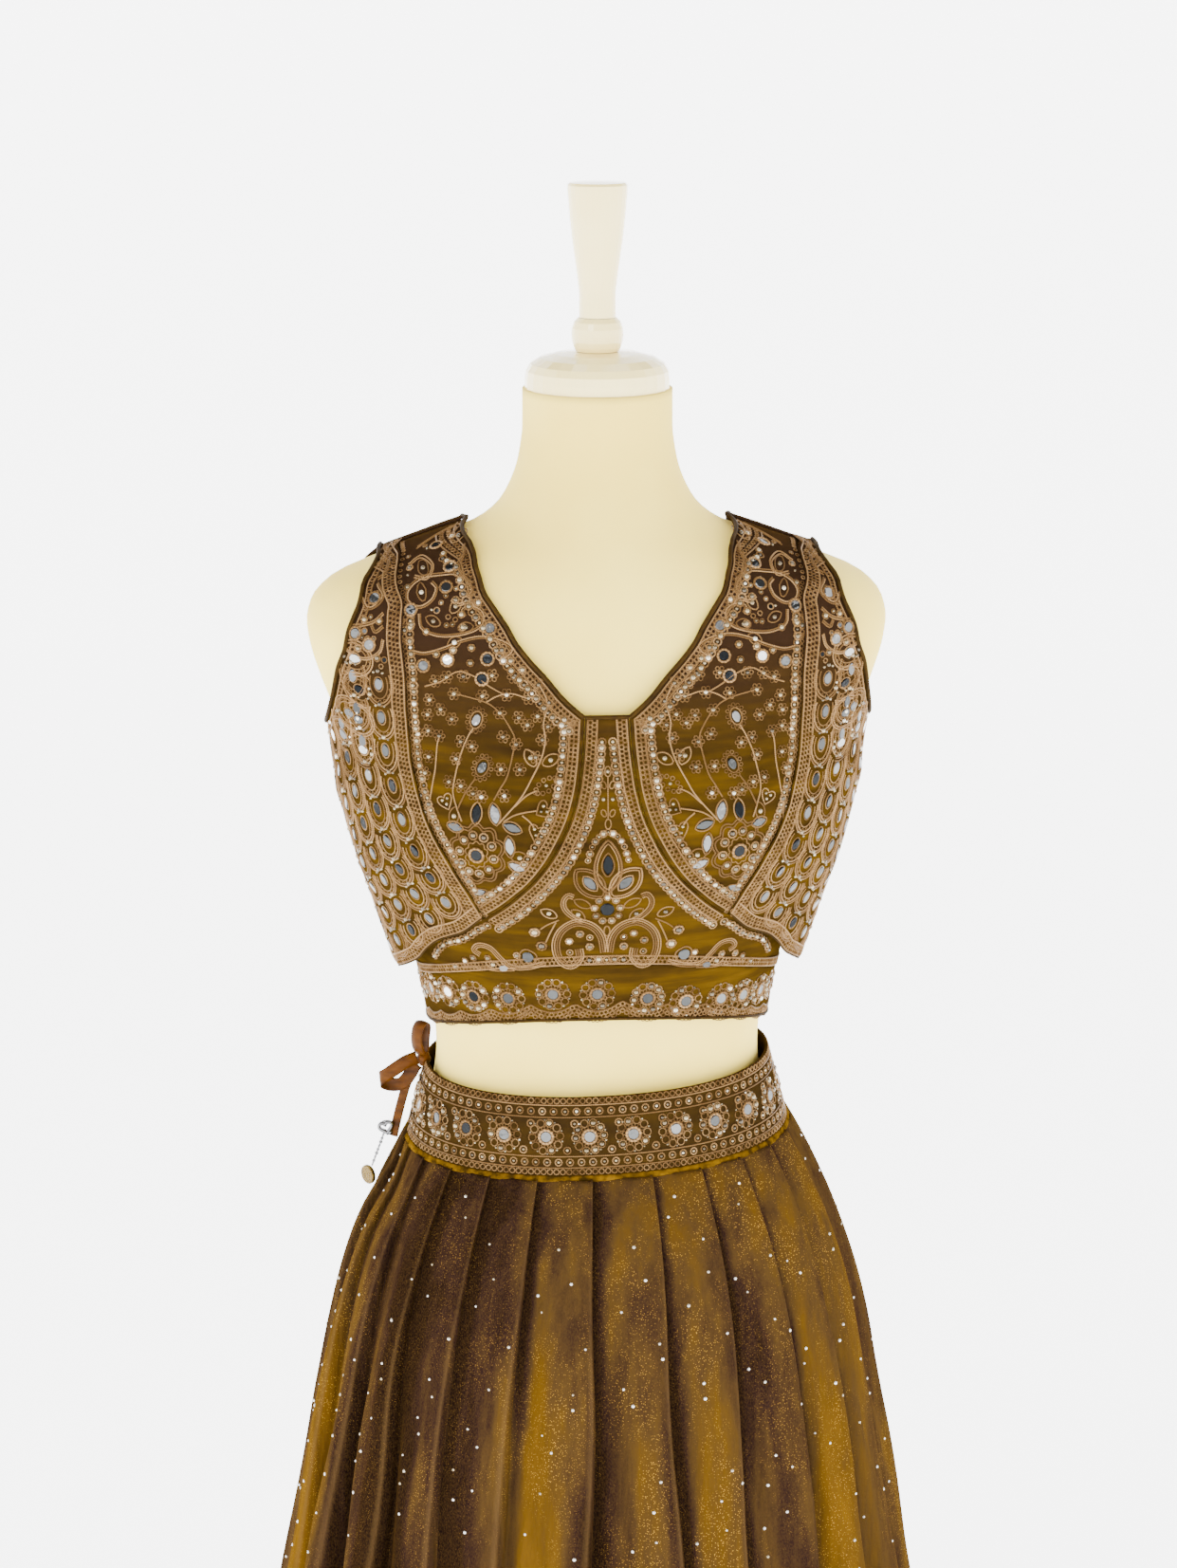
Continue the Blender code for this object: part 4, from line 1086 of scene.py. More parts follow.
def patch(left, right, top, bottom):
    """Grid of angles and heights between four edges that share their corners."""
    down = np.linspace(0, 1, len(left))[:, None, None]
    over = np.linspace(0, 1, len(top))[None, :, None]
    sides = left[:, None] * (1 - over) + right[:, None] * over
    ends = top[None] * (1 - down) + bottom[None] * down
    corners = ((top[0] * (1 - over) + top[-1] * over) * (1 - down)
               + (bottom[0] * (1 - over) + bottom[-1] * over) * down)
    return sides + ends - corners


def pull_in(points, top, bottom, left, right):
    """Draws the edges of a grid in, to leave the seams open."""
    moved = points.copy()
    moved[0] += unit(points[1] - points[0]) * top
    moved[-1] += unit(points[-2] - points[-1]) * bottom
    moved[:, 0] += unit(points[:, 1] - points[:, 0]) * left
    moved[:, -1] += unit(points[:, -2] - points[:, -1]) * right
    return moved


def cup_grid():
    """Cup, its outer edge a little way under the side panel."""
    inner = np.vstack((along_rows(NECKLINE, 33), along_rows(CUP_SEAM, 33)[1:]))
    outer = along_rows(VERTICAL_BAND, len(inner))
    index = np.arange(len(inner))
    under = CUP_UNDER * np.minimum(np.minimum(index / 12.0, (len(inner) - 1 - index) / 20.0), 1.0)
    outer = outer + np.stack((under, 0 * under), -1)
    return patch(inner, outer, straight(inner[0], outer[0], 25), straight(inner[-1], outer[-1], 25))


def side_grid():
    """Side panel, from the vertical band to the armhole and the side seam."""
    armhole = along_rows(ARMHOLE, 41)
    seam = straight(ARMHOLE[-1], SIDE_LOWER[-1], 25)
    outer = np.vstack((armhole, seam[1:]))
    inner = along_rows(VERTICAL_BAND, len(outer))
    return patch(inner, outer, straight(inner[0], outer[0], 33), along_rows(SIDE_LOWER, 33))


def back_grid():
    """Half of the back, from the centre back to the armhole and the side seam."""
    neck = along_rows(BACK_NECK, 25)
    inner = np.vstack((neck, straight(neck[-1], (180.0, HEM_SIDE), 46)[1:]))
    armhole = along_rows(BACK_ARMHOLE, 34)
    outer = np.vstack((armhole, straight(armhole[-1], (SIDE_SEAM, HEM_SIDE), 37)[1:]))
    return patch(inner, outer, straight(inner[0], outer[0], 37), straight(inner[-1], outer[-1], 37))


def centre_grid():
    """Centre front, between the cups and under the side panels' lower edges."""
    right = np.vstack((along_rows(CUP_SEAM, 33), along_rows([CUP_SEAM[-1]] + HIDDEN_EDGE, 25)[1:],
                       ((SIDE_SEAM, BAND_TOP_SIDE),)))
    share = np.linspace(-1, 1, 81)
    degrees = right[:, :1] * share
    down = (right[0, 1] - right[:, 1:]) / (right[0, 1] - right[-1, 1])
    rise = BAND_TOP_RISE * (choli_rise(degrees) - choli_rise(right[:, :1]))
    return np.stack((degrees, right[:, 1:] + down * rise), -1)


def band_grid():
    degrees = np.linspace(-SIDE_SEAM, SIDE_SEAM, 81)[None, :]
    share = np.linspace(0, 1, 13)[:, None]
    upper = band_top(degrees)
    return np.stack((degrees + 0 * share, upper + (choli_hem(degrees) - upper) * share), -1)


def surface_area(points):
    one = np.cross(points[1:, 1:] - points[:-1, :-1], points[1:, :-1] - points[:-1, 1:])
    return float(np.linalg.norm(one, axis=-1).sum() / 2)


def rim_length(points):
    rims = (points[0], points[-1], points[:, 0], points[:, -1])
    return sum(line_length(rim) for rim in rims)


def cut_of(points):
    """Width, length and flat area of the cut, with its seam allowance."""
    width = float(np.linalg.norm(np.diff(points[..., :2], axis=1), axis=-1).sum(axis=1).max())
    radius = np.linalg.norm(points[..., :2], axis=-1)
    length = float(np.hypot(np.diff(radius, axis=0), np.diff(points[..., 2], axis=0)).sum(axis=0).max())
    area = surface_area(points) + SEAM_ALLOWANCE * rim_length(points)
    width += 2 * SEAM_ALLOWANCE
    length = max(length + 2 * SEAM_ALLOWANCE, area / width)
    return (width, length), max(area, LEAST_SHARE * width * length)


def declare_cloth(points):
    size, area = cut_of(points)


def add_panel(name, grid, side, point, gaps, node_name):
    points = point(grid[..., 0] * side, grid[..., 1])
    if side < 0:
        points = points[:, ::-1]
        gaps = (gaps[0], gaps[1], gaps[3], gaps[2])
    shell = cloth(name, pull_in(points, *gaps), CHOLI_WALL, "choli_silk", "choli_fabric", node_name)
    declare_cloth(points)


def make_choli():
    g = SEAM_GAP
    for word, side in (("left", -1), ("right", 1)):
        add_panel("cup_cloth_" + word, cup_grid(), side, choli_point, (g, 5 * g, g, 0.0), "choli_cup_" + word)
        add_panel("side_cloth_" + word, side_grid(), side, side_point, (g, 0.0, 0.0, g), "choli_side_" + word)
        add_panel("back_cloth_" + word, back_grid(), side, choli_point, (g, 0.0, g, g), "choli_back_" + word)
    add_panel("centre_cloth", centre_grid(), 1, choli_point, (0.0, g, g, g), "choli_centre")
    add_panel("band_cloth", band_grid(), 1, choli_point, (g, 0.0, g, g), "choli_band_front")


# Waistband

def make_waistband(name, start, end, node_name):
    heights = np.linspace(BAND_TOP.height, BAND_LOW.height, 15)[:, None]
    degrees = np.linspace(start, end, 151)[None, :]
    points = waistband_point(degrees + 0 * heights, heights + 0 * degrees)
    shell = cloth(name, pull_in(points, 0.0, 0.0, SEAM_GAP, SEAM_GAP), WAISTBAND_WALL,
                  "choli_silk", "choli_fabric", node_name)
    declare_cloth(points)


# Skirt

def pleat_sway(pleat, height):
    """Small difference of one pleat from the next, in degrees and in depth."""
    drop = (BAND_LOW.height - height) / BAND_LOW.height
    turn = TURN_MOST * np.sin(TURN_WAVE * pleat + TURN_PHASE) * drop
    depth = 1.0 + DEPTH_MOST * np.sin(DEPTH_WAVE * pleat + DEPTH_PHASE) * np.minimum(4.0 * drop, 1.0)
    return turn, depth


def placket_inset(degrees, height):
    across = ((degrees - PLACKET_ANGLE + 180.0) % 360.0 - 180.0) / PLACKET_WIDTH
    along = (height - PLACKET_HEIGHT) / PLACKET_REACH
    return PLACKET_IN * np.exp(-(across * across + along * along))


def fold_lines(first_pleat, level):
    """Angle and inset of each fold line of half the skirt at each level."""
    numbers = np.arange(SEAM_FOLD - 1, SEAM_PLEATS * len(PLEAT) + SEAM_FOLD + 2)
    pleat = (first_pleat + numbers // len(PLEAT))[None, :]
    fold = np.asarray(PLEAT)[numbers % len(PLEAT)]
    height = level[:, :1]
    turn, depth = pleat_sway(pleat, height)
    next_turn, next_depth = pleat_sway(pleat - 1, height)
    place = fold[:, 0] + (fold[:, 2] - fold[:, 0]) * level[:, 5:]
    inward = fold[:, 1] + (fold[:, 3] - fold[:, 1]) * level[:, 5:]
    share = smooth_step(0.0, 0.5, place)
    sway = next_turn + (turn - next_turn) * share
    deep = next_depth + (depth - next_depth) * share
    degrees = FIRST_FOLD + 360.0 / PLEATS * (pleat - 1 + place) + sway
    return degrees, inward * level[:, 4:5] * deep


def between_folds(lines):
    """Rounds the cloth from fold line to fold line."""
    i = np.repeat(np.arange(1, lines.shape[1] - 2), COLUMNS_PER_FOLD)
    t = np.tile(np.arange(COLUMNS_PER_FOLD) / COLUMNS_PER_FOLD, lines.shape[1] - 3)
    i = np.append(i, lines.shape[1] - 3)
    t = np.append(t, 1.0)
    a, b, c, d = lines[:, i - 1], lines[:, i], lines[:, i + 1], lines[:, i + 2]
    tension = 0.36
    start = (c - a) * tension
    end = (d - b) * tension
    return (b * (1 + 2 * t) * (1 - t) ** 2 + c * t * t * (3 - 2 * t)
            + start * t * (1 - t) ** 2 - end * t * t * (1 - t))


def skirt_grid(first_pleat):
    heights = np.concatenate([np.linspace(*rows)[1:] for rows in SKIRT_ROWS])
    heights = np.append(BAND_LOW.height, heights)
    level = read_table(SKIRT_LEVELS, heights)
    degrees, inset = fold_lines(first_pleat, level)
    degrees = between_folds(degrees)
    height = heights[:, None]
    degrees = degrees + skirt_wander(degrees, height)
    inset = between_folds(inset) + placket_inset(degrees, height)
    inset = inset - skirt_waves(degrees, height)
    level = level[:, None, :]
    ring = np.stack(np.broadcast_arrays(height, level[..., 1] - inset, level[..., 2] - inset,
                                        level[..., 3] - inset, BAND_LOW.roundness), -1)
    points = ring_point(ring, degrees)
    share = (height - HEM_HEIGHT) / (BAND_LOW.height - HEM_HEIGHT)
    points[..., 2] += tilt(points) * share ** 3
    points[0, :, 2] -= SKIRT_GAP
    return points


def skirt_waves(degrees, height):
    """Slow uneven waves down the pleats, none at the waist; whole turns, so the halves meet."""
    turn = np.radians(degrees)
    drop = smooth_step(0.93, 0.74, height)
    one = np.sin(height * 15.0 + turn * 6.0) * np.sin(turn * 21.0 + 1.3)
    two = np.sin(height * 33.0 - turn * 13.0 + 2.1) * np.sin(turn * 34.0)
    three = np.sin(height * 7.0 + turn * 4.0) * np.sin(turn * 47.0 + 2.0 * np.sin(height * 9.0))
    return drop * (0.0019 * one + 0.0009 * two + 0.0012 * three)


def skirt_wander(degrees, height):
    """Sideways wander of the fold lines, in degrees."""
    turn = np.radians(degrees)
    drop = smooth_step(0.93, 0.70, height)
    slow = 0.75 * np.sin(height * 11.0 + turn * 7.0)
    return drop * (slow + 0.40 * np.sin(height * 23.0 - turn * 12.0 + 1.0))


def lean_of(points):
    """1 where the cloth turns towards -X at the front, and 0 where it turns the other way."""
    over = np.gradient(points, axis=1)
    down = np.gradient(points, axis=0)
    normal = unit(np.cross(down, over))
    around_body = unit(np.stack((-points[..., 1], points[..., 0], 0 * points[..., 0]), -1))
    return 0.5 - 0.5 * np.sum(normal * around_body, -1)


GOLD_MIDDLE = 0.42
# Broad streaks, more or less golden: shot colour with painted highlights and painted shade; in degrees, from
# the height where each starts to where it is full
Streak = namedtuple("Streak", "middle half_width gold start full")
SHOT_AND_SHADE_STREAKS = [Streak(*row) for row in (
    (-33.0, 7.0, -0.32, 0.96, 0.92),
    (-50.0, 12.0, -0.42, 0.97, 0.92),
    (-19.0, 6.5, 0.40, 0.86, 0.72),
    (-7.5, 3.5, -0.32, 0.78, 0.68),
    (16.0, 4.0, -0.38, 0.84, 0.74),
    (27.0, 3.5, 0.10, 0.84, 0.70),
    (37.0, 6.0, -0.46, 0.92, 0.80),
    (55.0, 7.0, 0.18, 0.86, 0.72),
    (-76.0, 9.0, 0.18, 0.86, 0.70),
    (84.0, 7.0, -0.10, 0.92, 0.80),
    (-96.0, 7.0, -0.16, 0.92, 0.80),
    (110.0, 7.0, 0.16, 0.90, 0.74),
    (133.0, 6.0, -0.20, 0.90, 0.74),
    (158.0, 7.0, 0.14, 0.90, 0.74),
    (176.0, 5.0, -0.20, 0.90, 0.74),
    (-168.0, 6.0, 0.12, 0.90, 0.74),
    (-145.0, 8.0, -0.20, 0.90, 0.74),
    (-120.0, 9.0, 0.16, 0.90, 0.74),
)]


def broad_streaks(points):
    """Share that the broad streaks add over the skirt: shot colour with painted highlights where it rises and
    painted shade where it falls.
    """
    degrees = np.degrees(np.arctan2(points[..., 0], -points[..., 1]))
    gold = 0 * degrees
    for streak in SHOT_AND_SHADE_STREAKS:
        down = smooth_step(streak.start, streak.full, points[:, :1, 2])
        gold += streak.gold * down * np.exp(-((degrees - streak.middle) / streak.half_width) ** 2)
    return gold


def shot_and_shade_share(points, first_pleat):
    """Share of golden shot colour, with painted shade and painted sheen: golden on one side of a pleat and
    purple on the other, darker in the painted shadow beside each fold, and more golden on cloth turned one
    way.
    """
    columns = np.arange(points.shape[1])
    along = (columns / COLUMNS_PER_FOLD + SEAM_FOLD) / len(PLEAT)
    pleat = first_pleat + np.floor(along)
    place = along % 1.0
    height = points[:, :1, 2]
    open_share = smooth_step(0.90, 0.62, height)
    strength = (0.07 + 0.26 * uneven(pleat, 5.0)) * (0.25 + 0.75 * open_share)
    wander = 0.10 * np.sin(height * (4.0 + 5.0 * uneven(pleat, 6.0)) + 6.0 * uneven(pleat, 8.0))
    wave = np.cos(2 * np.pi * (place - 0.30 - 0.22 * (uneven(pleat, 9.0) - 0.5) + wander))
    second = np.cos(4 * np.pi * (place + 0.3 * uneven(pleat, 3.0)) + 9.0 * height)
    fold = place * len(PLEAT)
    # A ramp across each pleat's face, its sign set per pleat: shot colour, with painted shade where the
    # overlapping fold falls.
    face_shot_and_shade = np.clip(1.0 - 2.0 * (fold - 1.0) / (FOLD_EDGE - 1.0), -1.0, 1.0)
    face_shot_and_shade = face_shot_and_shade * np.where(uneven(pleat, 12.0) > 0.4, 1.0, -1.0)
    shadow = -0.46 * np.exp(-((fold - 0.5) / 0.6) ** 2)
    # Painted sheen: cloth turned one way is painted more golden.
    lean = 0.16 * (lean_of(points) - 0.5)
    tone = 0.12 * (uneven(pleat, 14.0) - 0.5)
    return (GOLD_MIDDLE + lean + strength * (0.45 * wave + face_shot_and_shade + 0.15 * second)
            + broad_streaks(points) + tone + shadow)


def fold_light(points):
    """1 along the outer fold of each pleat, where the cloth catches the light."""
    columns = np.arange(points.shape[1])
    place = ((columns / COLUMNS_PER_FOLD + SEAM_FOLD) % len(PLEAT)) - FOLD_EDGE
    return np.exp(-(place / 0.30) ** 2) * (0.45 + 0.55 * smooth_step(0.90, 0.75, points[..., 2]))


def make_skirt(name, first_pleat, node_name):
    points = skirt_grid(first_pleat)
    # Colour attributes: shot colour with painted shade and painted sheen, and a painted highlight along the
    # outer folds.
    values = {"gold": shot_and_shade_share(points, first_pleat), "edge": fold_light(points)}
    shell = cloth(name, pull_in(points, 0.0, 0.0, SEAM_GAP, SEAM_GAP), SKIRT_WALL,
                  "shot_tissue", "skirt_fabric", node_name, values=values)
    declare_cloth(points)
    return points


# Studs: rows down the skirt, and the part of a pleat that carries them, counted in folds
STUD_TOP = 0.925
STUD_LOW = 0.04
STUD_ROW = 0.0155
STUD_PITCH = 0.062
STUD_FACE = (1.2, FOLD_EDGE - 0.1)


def stud_places(points, salt):
    """Rows and columns of the skirt's grid in offset rows, on the outer faces of the pleats."""
    widths = np.linalg.norm(np.diff(points, axis=1), axis=-1)
    rows = []
    columns = []
    for number, height in enumerate(np.arange(STUD_TOP, STUD_LOW, -STUD_ROW)):
        row = int(np.argmin(np.abs(points[:, 0, 2] - height)))
        lengths = np.cumsum(widths[row])
        start = STUD_PITCH / 2 * (0.5 * (number % 2) + 0.3 * uneven(number, salt))
        places = np.arange(start, lengths[-1], STUD_PITCH)
        places = places + 0.012 * (uneven(np.arange(len(places)) + 40 * number, salt + 1.0) - 0.5)
        found = np.searchsorted(lengths, places)
        columns.append(np.clip(found, 1, points.shape[1] - 2))
        rows.append(np.full(len(found), row))
    rows = np.concatenate(rows)
    columns = np.concatenate(columns)
    fold = (columns / COLUMNS_PER_FOLD + SEAM_FOLD) % len(PLEAT)
    keep = (fold > STUD_FACE[0]) & (fold < STUD_FACE[1])
    return rows[keep], columns[keep]


def add_studs(name, points, salt):
    """Small bright studs over half the skirt."""
    st = Stitching(name)
    over = unit(np.gradient(points, axis=1))
    down = unit(np.gradient(points, axis=0))
    out = unit(np.cross(down, over))
    rows, columns = stud_places(points, salt)
    frames = [part[rows, columns] for part in (points, over, np.cross(out, over), out)]
    number = np.arange(len(rows))
    st.stamp(STUD, frames, 90.0 * uneven(number, salt + 3.0), 0.85 + 0.5 * uneven(number, salt + 2.0), 0.3)
    st.done("skirt_fabric", "studs")


def add_ledge():
    """Golden folded edge of tissue under the waistband, with small crinkles."""
    degrees = np.linspace(OPENING_TO + 0.8, 360.0 + OPENING_FROM - 0.8, 400)
    along = np.linspace(0.0, 1.0, 9)[:, None]
    fold = 1.0 - np.abs(1.0 - 2.0 * along)
    crinkle = np.sin(degrees * 3.1) * np.sin(degrees * 0.83 + 1.0) + 0.6 * np.sin(degrees * 7.3 + 2.0)
    height = BAND_LOW.height + 0.0014 - fold * 0.0046
    points = waistband_point(degrees[None, :] + 0 * height, height + 0 * degrees[None, :])
    swell = 0.0004 + 0.0013 * np.sin(fold * np.pi * 0.55) - 0.0012 * smooth_step(0.40, 0.60, along)
    swell = swell + 0.00045 * crinkle[None, :] * np.sin(fold * np.pi * 0.8)
    points = points + unit(points * (1.0, 1.0, 0.0)) * swell[..., None]
    shell = cloth("waist_ledge", points, LEDGE_WALL, "gold_tissue", "skirt_fabric")
    flat = (line_length(points[3]), max(line_length(points[:, 100]), LEDGE_WIDTH))


# Drawstring: flat satin ribbon tied at the open side, and its free end with charms

RIBBON_WIDTH = 0.0100
RIBBON_WALL = 0.0005
RIBBON_ROWS = 7
RIBBON_CROWN = 0.10


def ribbon_strip(name, spots, faces_to, width, node_name):
    """Ribbon along spots, its flat side turned to the directions given."""
    line = smooth_path(spots)
    facing = smooth_path(faces_to)
    along = unit(np.gradient(line, axis=0))
    facing = unit(facing - along * np.sum(facing * along, -1, keepdims=True))
    side = np.cross(facing, along)
    across = np.linspace(-0.5, 0.5, RIBBON_ROWS)
    crown = RIBBON_CROWN * width * np.cos(across * np.pi)
    points = (line[:, None, :] + side[:, None, :] * across[None, :, None] * width
              + facing[:, None, :] * crown[None, :, None])
    points = np.swapaxes(points, 0, 1).reshape(-1, 3)
    shell = mesh_object(name, points, [grid_faces(RIBBON_ROWS, len(line))[:, ::-1]], ["ribbon_satin"])
    thicken(shell, RIBBON_WALL, 0.0)
    settle(shell, "ribbon", node_name)
    return shell, line


OUTER_LOOP = (
    (-0.1362, -0.0036, 0.9982), (-0.1440, -0.0060, 0.9962), (-0.1520, -0.0068, 0.9912),
    (-0.1588, -0.0062, 0.9862), (-0.1632, -0.0036, 0.9822), (-0.1622, -0.0006, 0.9782),
    (-0.1560, 0.0006, 0.9752), (-0.1482, 0.0006, 0.9758), (-0.1420, 0.0002, 0.9830),
    (-0.1378, -0.0010, 0.9912))
OUTER_FACES = (
    (-0.1, -1.0, 0.25), (0.0, -1.0, 0.15), (-0.1, -1.0, 0.1), (-0.45, -0.9, -0.2), (-1.0, 0.0, -0.5),
    (-0.3, 0.9, -0.7), (0.0, 1.0, -0.3), (0.1, 1.0, 0.0), (0.2, 1.0, 0.0), (0.0, 1.0, 0.0))
UPPER_LOOP = (
    (-0.1328, -0.0036, 1.0012), (-0.1352, -0.0058, 1.0070), (-0.1362, -0.0062, 1.0150),
    (-0.1348, -0.0050, 1.0225), (-0.1318, -0.0024, 1.0262), (-0.1300, 0.0002, 1.0222),
    (-0.1305, 0.0006, 1.0140), (-0.1310, 0.0000, 1.0062), (-0.1315, -0.0016, 1.0018))
UPPER_FACES = (
    (-0.7, -1.0, 0.0), (-0.7, -1.0, 0.1), (-0.8, -1.0, 0.1), (-0.6, -0.8, 0.5), (0.0, 0.0, 1.0),
    (0.5, 1.0, 0.3), (0.7, 1.0, 0.0), (0.7, 1.0, 0.0), (0.7, 1.0, 0.0))
TAIL = (
    (-0.13485, 0.0012, 0.9906), (-0.1372, 0.0040, 0.9872), (-0.1407, 0.0054, 0.9815),
    (-0.1444, 0.0056, 0.9735), (-0.1478, 0.0054, 0.9620), (-0.1510, 0.0048, 0.9500),
    (-0.1540, 0.0040, 0.9375), (-0.1552, 0.0036, 0.9320))
TAIL_POINTS = 16
TAIL_WIDTH = 0.0068
KNOT_CENTRE = (-0.1312, 0.0000, 0.9962)
KNOT_RADII = (0.0056, 0.0053, 0.0062)
KNOT_ROWS = 15
KNOT_COLUMNS = 28
KNOT_GROOVE = 0.10


def make_knot():
    """Knot of the wrapped ribbon: an egg with the grooves of its turns."""
    rise = np.linspace(np.pi * 0.5, -np.pi * 0.5, KNOT_ROWS + 2)[1:-1, None]
    turn = full_turn(KNOT_COLUMNS)[None, :]
    grooves = 1.0 - KNOT_GROOVE * np.abs(np.sin(2.5 * rise + 0.8 * np.sin(turn) + 0.4)) ** 6
    reach = np.stack((np.cos(rise) * np.cos(turn), np.cos(rise) * np.sin(turn), np.sin(rise) + 0 * turn), -1)
    points = np.array(KNOT_CENTRE) + reach * grooves[..., None] * KNOT_RADII
    tip = np.array((0.0, 0.0, KNOT_RADII[2] * 0.98))
    count = KNOT_ROWS * KNOT_COLUMNS
    first = np.arange(KNOT_COLUMNS)
    last = first + count - KNOT_COLUMNS
    faces = [grid_faces(KNOT_ROWS, KNOT_COLUMNS, closed=True),
             np.stack((first, np.roll(first, -1), np.full(KNOT_COLUMNS, count)), -1),
             np.stack((np.roll(last, -1), last, np.full(KNOT_COLUMNS, count + 1)), -1)]
    points = np.vstack((points.reshape(-1, 3), KNOT_CENTRE + tip, KNOT_CENTRE - tip))
    knot = mesh_object("ribbon_knot", points, faces, ["ribbon_satin"])
    settle(knot, "ribbon", "drawstring_knot")


RING_CENTRE = (-0.1608, 0.0034, 0.9400)
LINK_TOP = (-0.1615, 0.0034, 0.9369)
LINK_FOOT = (-0.1720, 0.0034, 0.9080)


def add_hooks():
    """Thread hooks that close the centre back."""
    st = Stitching("back_hooks")
    heights = np.linspace(1.130, 1.345, 8)
    base = choli_point(180.0 + 0 * heights, heights) + (0.0, CHOLI_WALL, 0.0)
    ways = ((-1.0, 0.0, 0.0), (0.0, 0.0, 1.0), (0.0, 1.0, 0.0))
    st.stamp(HOOK, [base] + [np.tile(way, (len(heights), 1)) for way in ways])
    st.done(material="zari_cord")


def add_crystals():
    """Open heart on the ring and dark crystals down the link, seen from both sides."""
    st = Stitching("charm_crystals")
    share = np.linspace(0.02, 0.86, 9)[:, None]
    link = np.array(LINK_TOP) * (1 - share) + np.array(LINK_FOOT) * share
    spots = np.vstack((link, [np.array(RING_CENTRE) + (0.0032, 0.0, -0.0050)]))
    sizes = np.append(np.tile((1.15, 0.80, 1.00), 3), 1.7)
    heart_place = np.array([RING_CENTRE]) + (0.0, -0.0002, -0.0006)
    shapes = ((CRYSTAL, spots, sizes), (HEART_CHARM, heart_place, 1.0))
    for shape, places, size in shapes:
        up = np.tile((0.0, 0.0, 1.0), (len(places), 1))
        for way in (-1.0, 1.0):
            out = np.tile((0.0, way, 0.0), (len(places), 1))
            right = np.tile((-way, 0.0, 0.0), (len(places), 1))
            st.stamp(shape, (places, right, up, out), -14.0 * way, size)
    st.done("charm_steel", "dark_silver")


def make_drawstring():
    tail_spots = along_rows(TAIL, TAIL_POINTS)
    faces_to = np.tile((-0.35, -1.0, 0.0), (TAIL_POINTS, 1))
    tail, line = ribbon_strip("ribbon_tail", tail_spots, faces_to, TAIL_WIDTH, "drawstring_tail")
    round(line_length(line), 4)
    for word, spots, faces_to in (("outer", OUTER_LOOP, OUTER_FACES), ("upper", UPPER_LOOP, UPPER_FACES)):
        loop, line = ribbon_strip("ribbon_loop_" + word, spots, faces_to, RIBBON_WIDTH,
                                  "drawstring_loop_" + word)
        line_length(line)
    make_knot()


# Small shapes of the embroidery, the radii of its cords and the spacing of its rows

FINE = 0.00046
THIN = 0.00053
CORD = 0.00057
CURL = 0.00061
VINE = 0.00065
BOLD = 0.00068
TRIM_EDGE = 0.00070
TRIM_DEPTH = 0.0028
TRIM_PITCH = 0.0031
BEAD_PITCH = 0.0084

RING = outline_shape(circle(0.0025, 10), 0.00058, 4)
LOOP = outline_shape(circle(0.0025, 10), 0.00050, 3)
SMALL_RING = outline_shape(circle(0.00145, 8), 0.00048, 3)
EDGE_RING = outline_shape(circle(0.0018, 8), 0.00050, 3)
BEAD = dome_shape(0.0010, 0.00085)
STUD = dome_shape(0.0011, 0.0008, 5, 2)
CRYSTAL = dome_shape(0.0013, 0.0013, 6, 2)
HOOK = outline_shape(oval(0.0036, 0.0013, 12), 0.0006, 4)
HEART_CHARM = outline_shape(heart_outline(0.0050), 0.0013, 6)
ROUND_MIRROR = plate_shape(circle(0.0040, 16), 0.0010)
POINTED_MIRROR = plate_shape(marquise(0.0042, 0.0085), 0.0011)
OVAL_MIRROR = plate_shape(oval(0.0032, 0.0046), 0.0010)


def mm(*pairs):
    """Places of the chart from millimetres across and up."""
    return np.asarray(pairs, dtype=float).reshape(-1, 2) / 1000.0


def at(x, z):
    return mm((x, z))[0]


def around(places, radius, count, start):
    """Places in a ring round each place, the first at start degrees."""
    turn = np.radians(start + np.arange(count) * 360.0 / count)
    ring = np.stack((np.cos(turn), np.sin(turn)), -1) * radius
    return (places.reshape(-1, 1, 2) + ring[None]).reshape(-1, 2)


def ring_beads(st, places, size=1.0):
    """A thread ring with a gilt bead in it."""
    st.put(RING, places, size=size)
    st.put(BEAD, places, size=1.25 * size, lean=0.3)


def bright_beads(st, places, size):
    """A cut bead in a thread ring."""
    st.put(SMALL_RING, places, size=1.75 * size)
    st.put(BEAD, places, size=2.0 * size, lean=0.4, lift=0.0002)


def rosettes(st, places, size):
    """A round mirror in a ring of loops, with bright beads between them."""
    st.put(ROUND_MIRROR, places, size=size, lean=0.22)
    st.put(RING, places, size=1.88 * size)
    st.put(SMALL_RING, around(places, 0.0062 * size, 9, 10.0), size=0.8 * size)
    loops = around(places, 0.0093 * size, 10, 4.0)
    st.put(LOOP, loops, size=1.02 * size)
    bright = uneven(np.arange(len(loops)), 7.0) > 0.55
    st.put(BEAD, loops[bright], size=1.85 * size, lean=0.5, lift=0.0003)
    st.put(BEAD, around(places, 0.0111 * size, 10, 22.0), size=0.8 * size, lift=0.0001)


def flowers(st, places):
    """Six small loops round a bead."""
    st.put(SMALL_RING, around(places, 0.0031, 6, 0.0), size=0.95)
    st.put(BEAD, places, size=1.6, lean=0.4, lift=0.0002)


def oval_flower(st, x, z, turn):
    """An oval mirror ringed by small loops."""
    place = at(x, z)
    st.put(OVAL_MIRROR, place, turn, 0.92, lean=0.25)
    st.loop(oval(0.0042, 0.0061, 28), place, 0.00055, turn)
    st.put(SMALL_RING, place + turned(oval(0.0062, 0.0082, 13), turn), size=0.9)


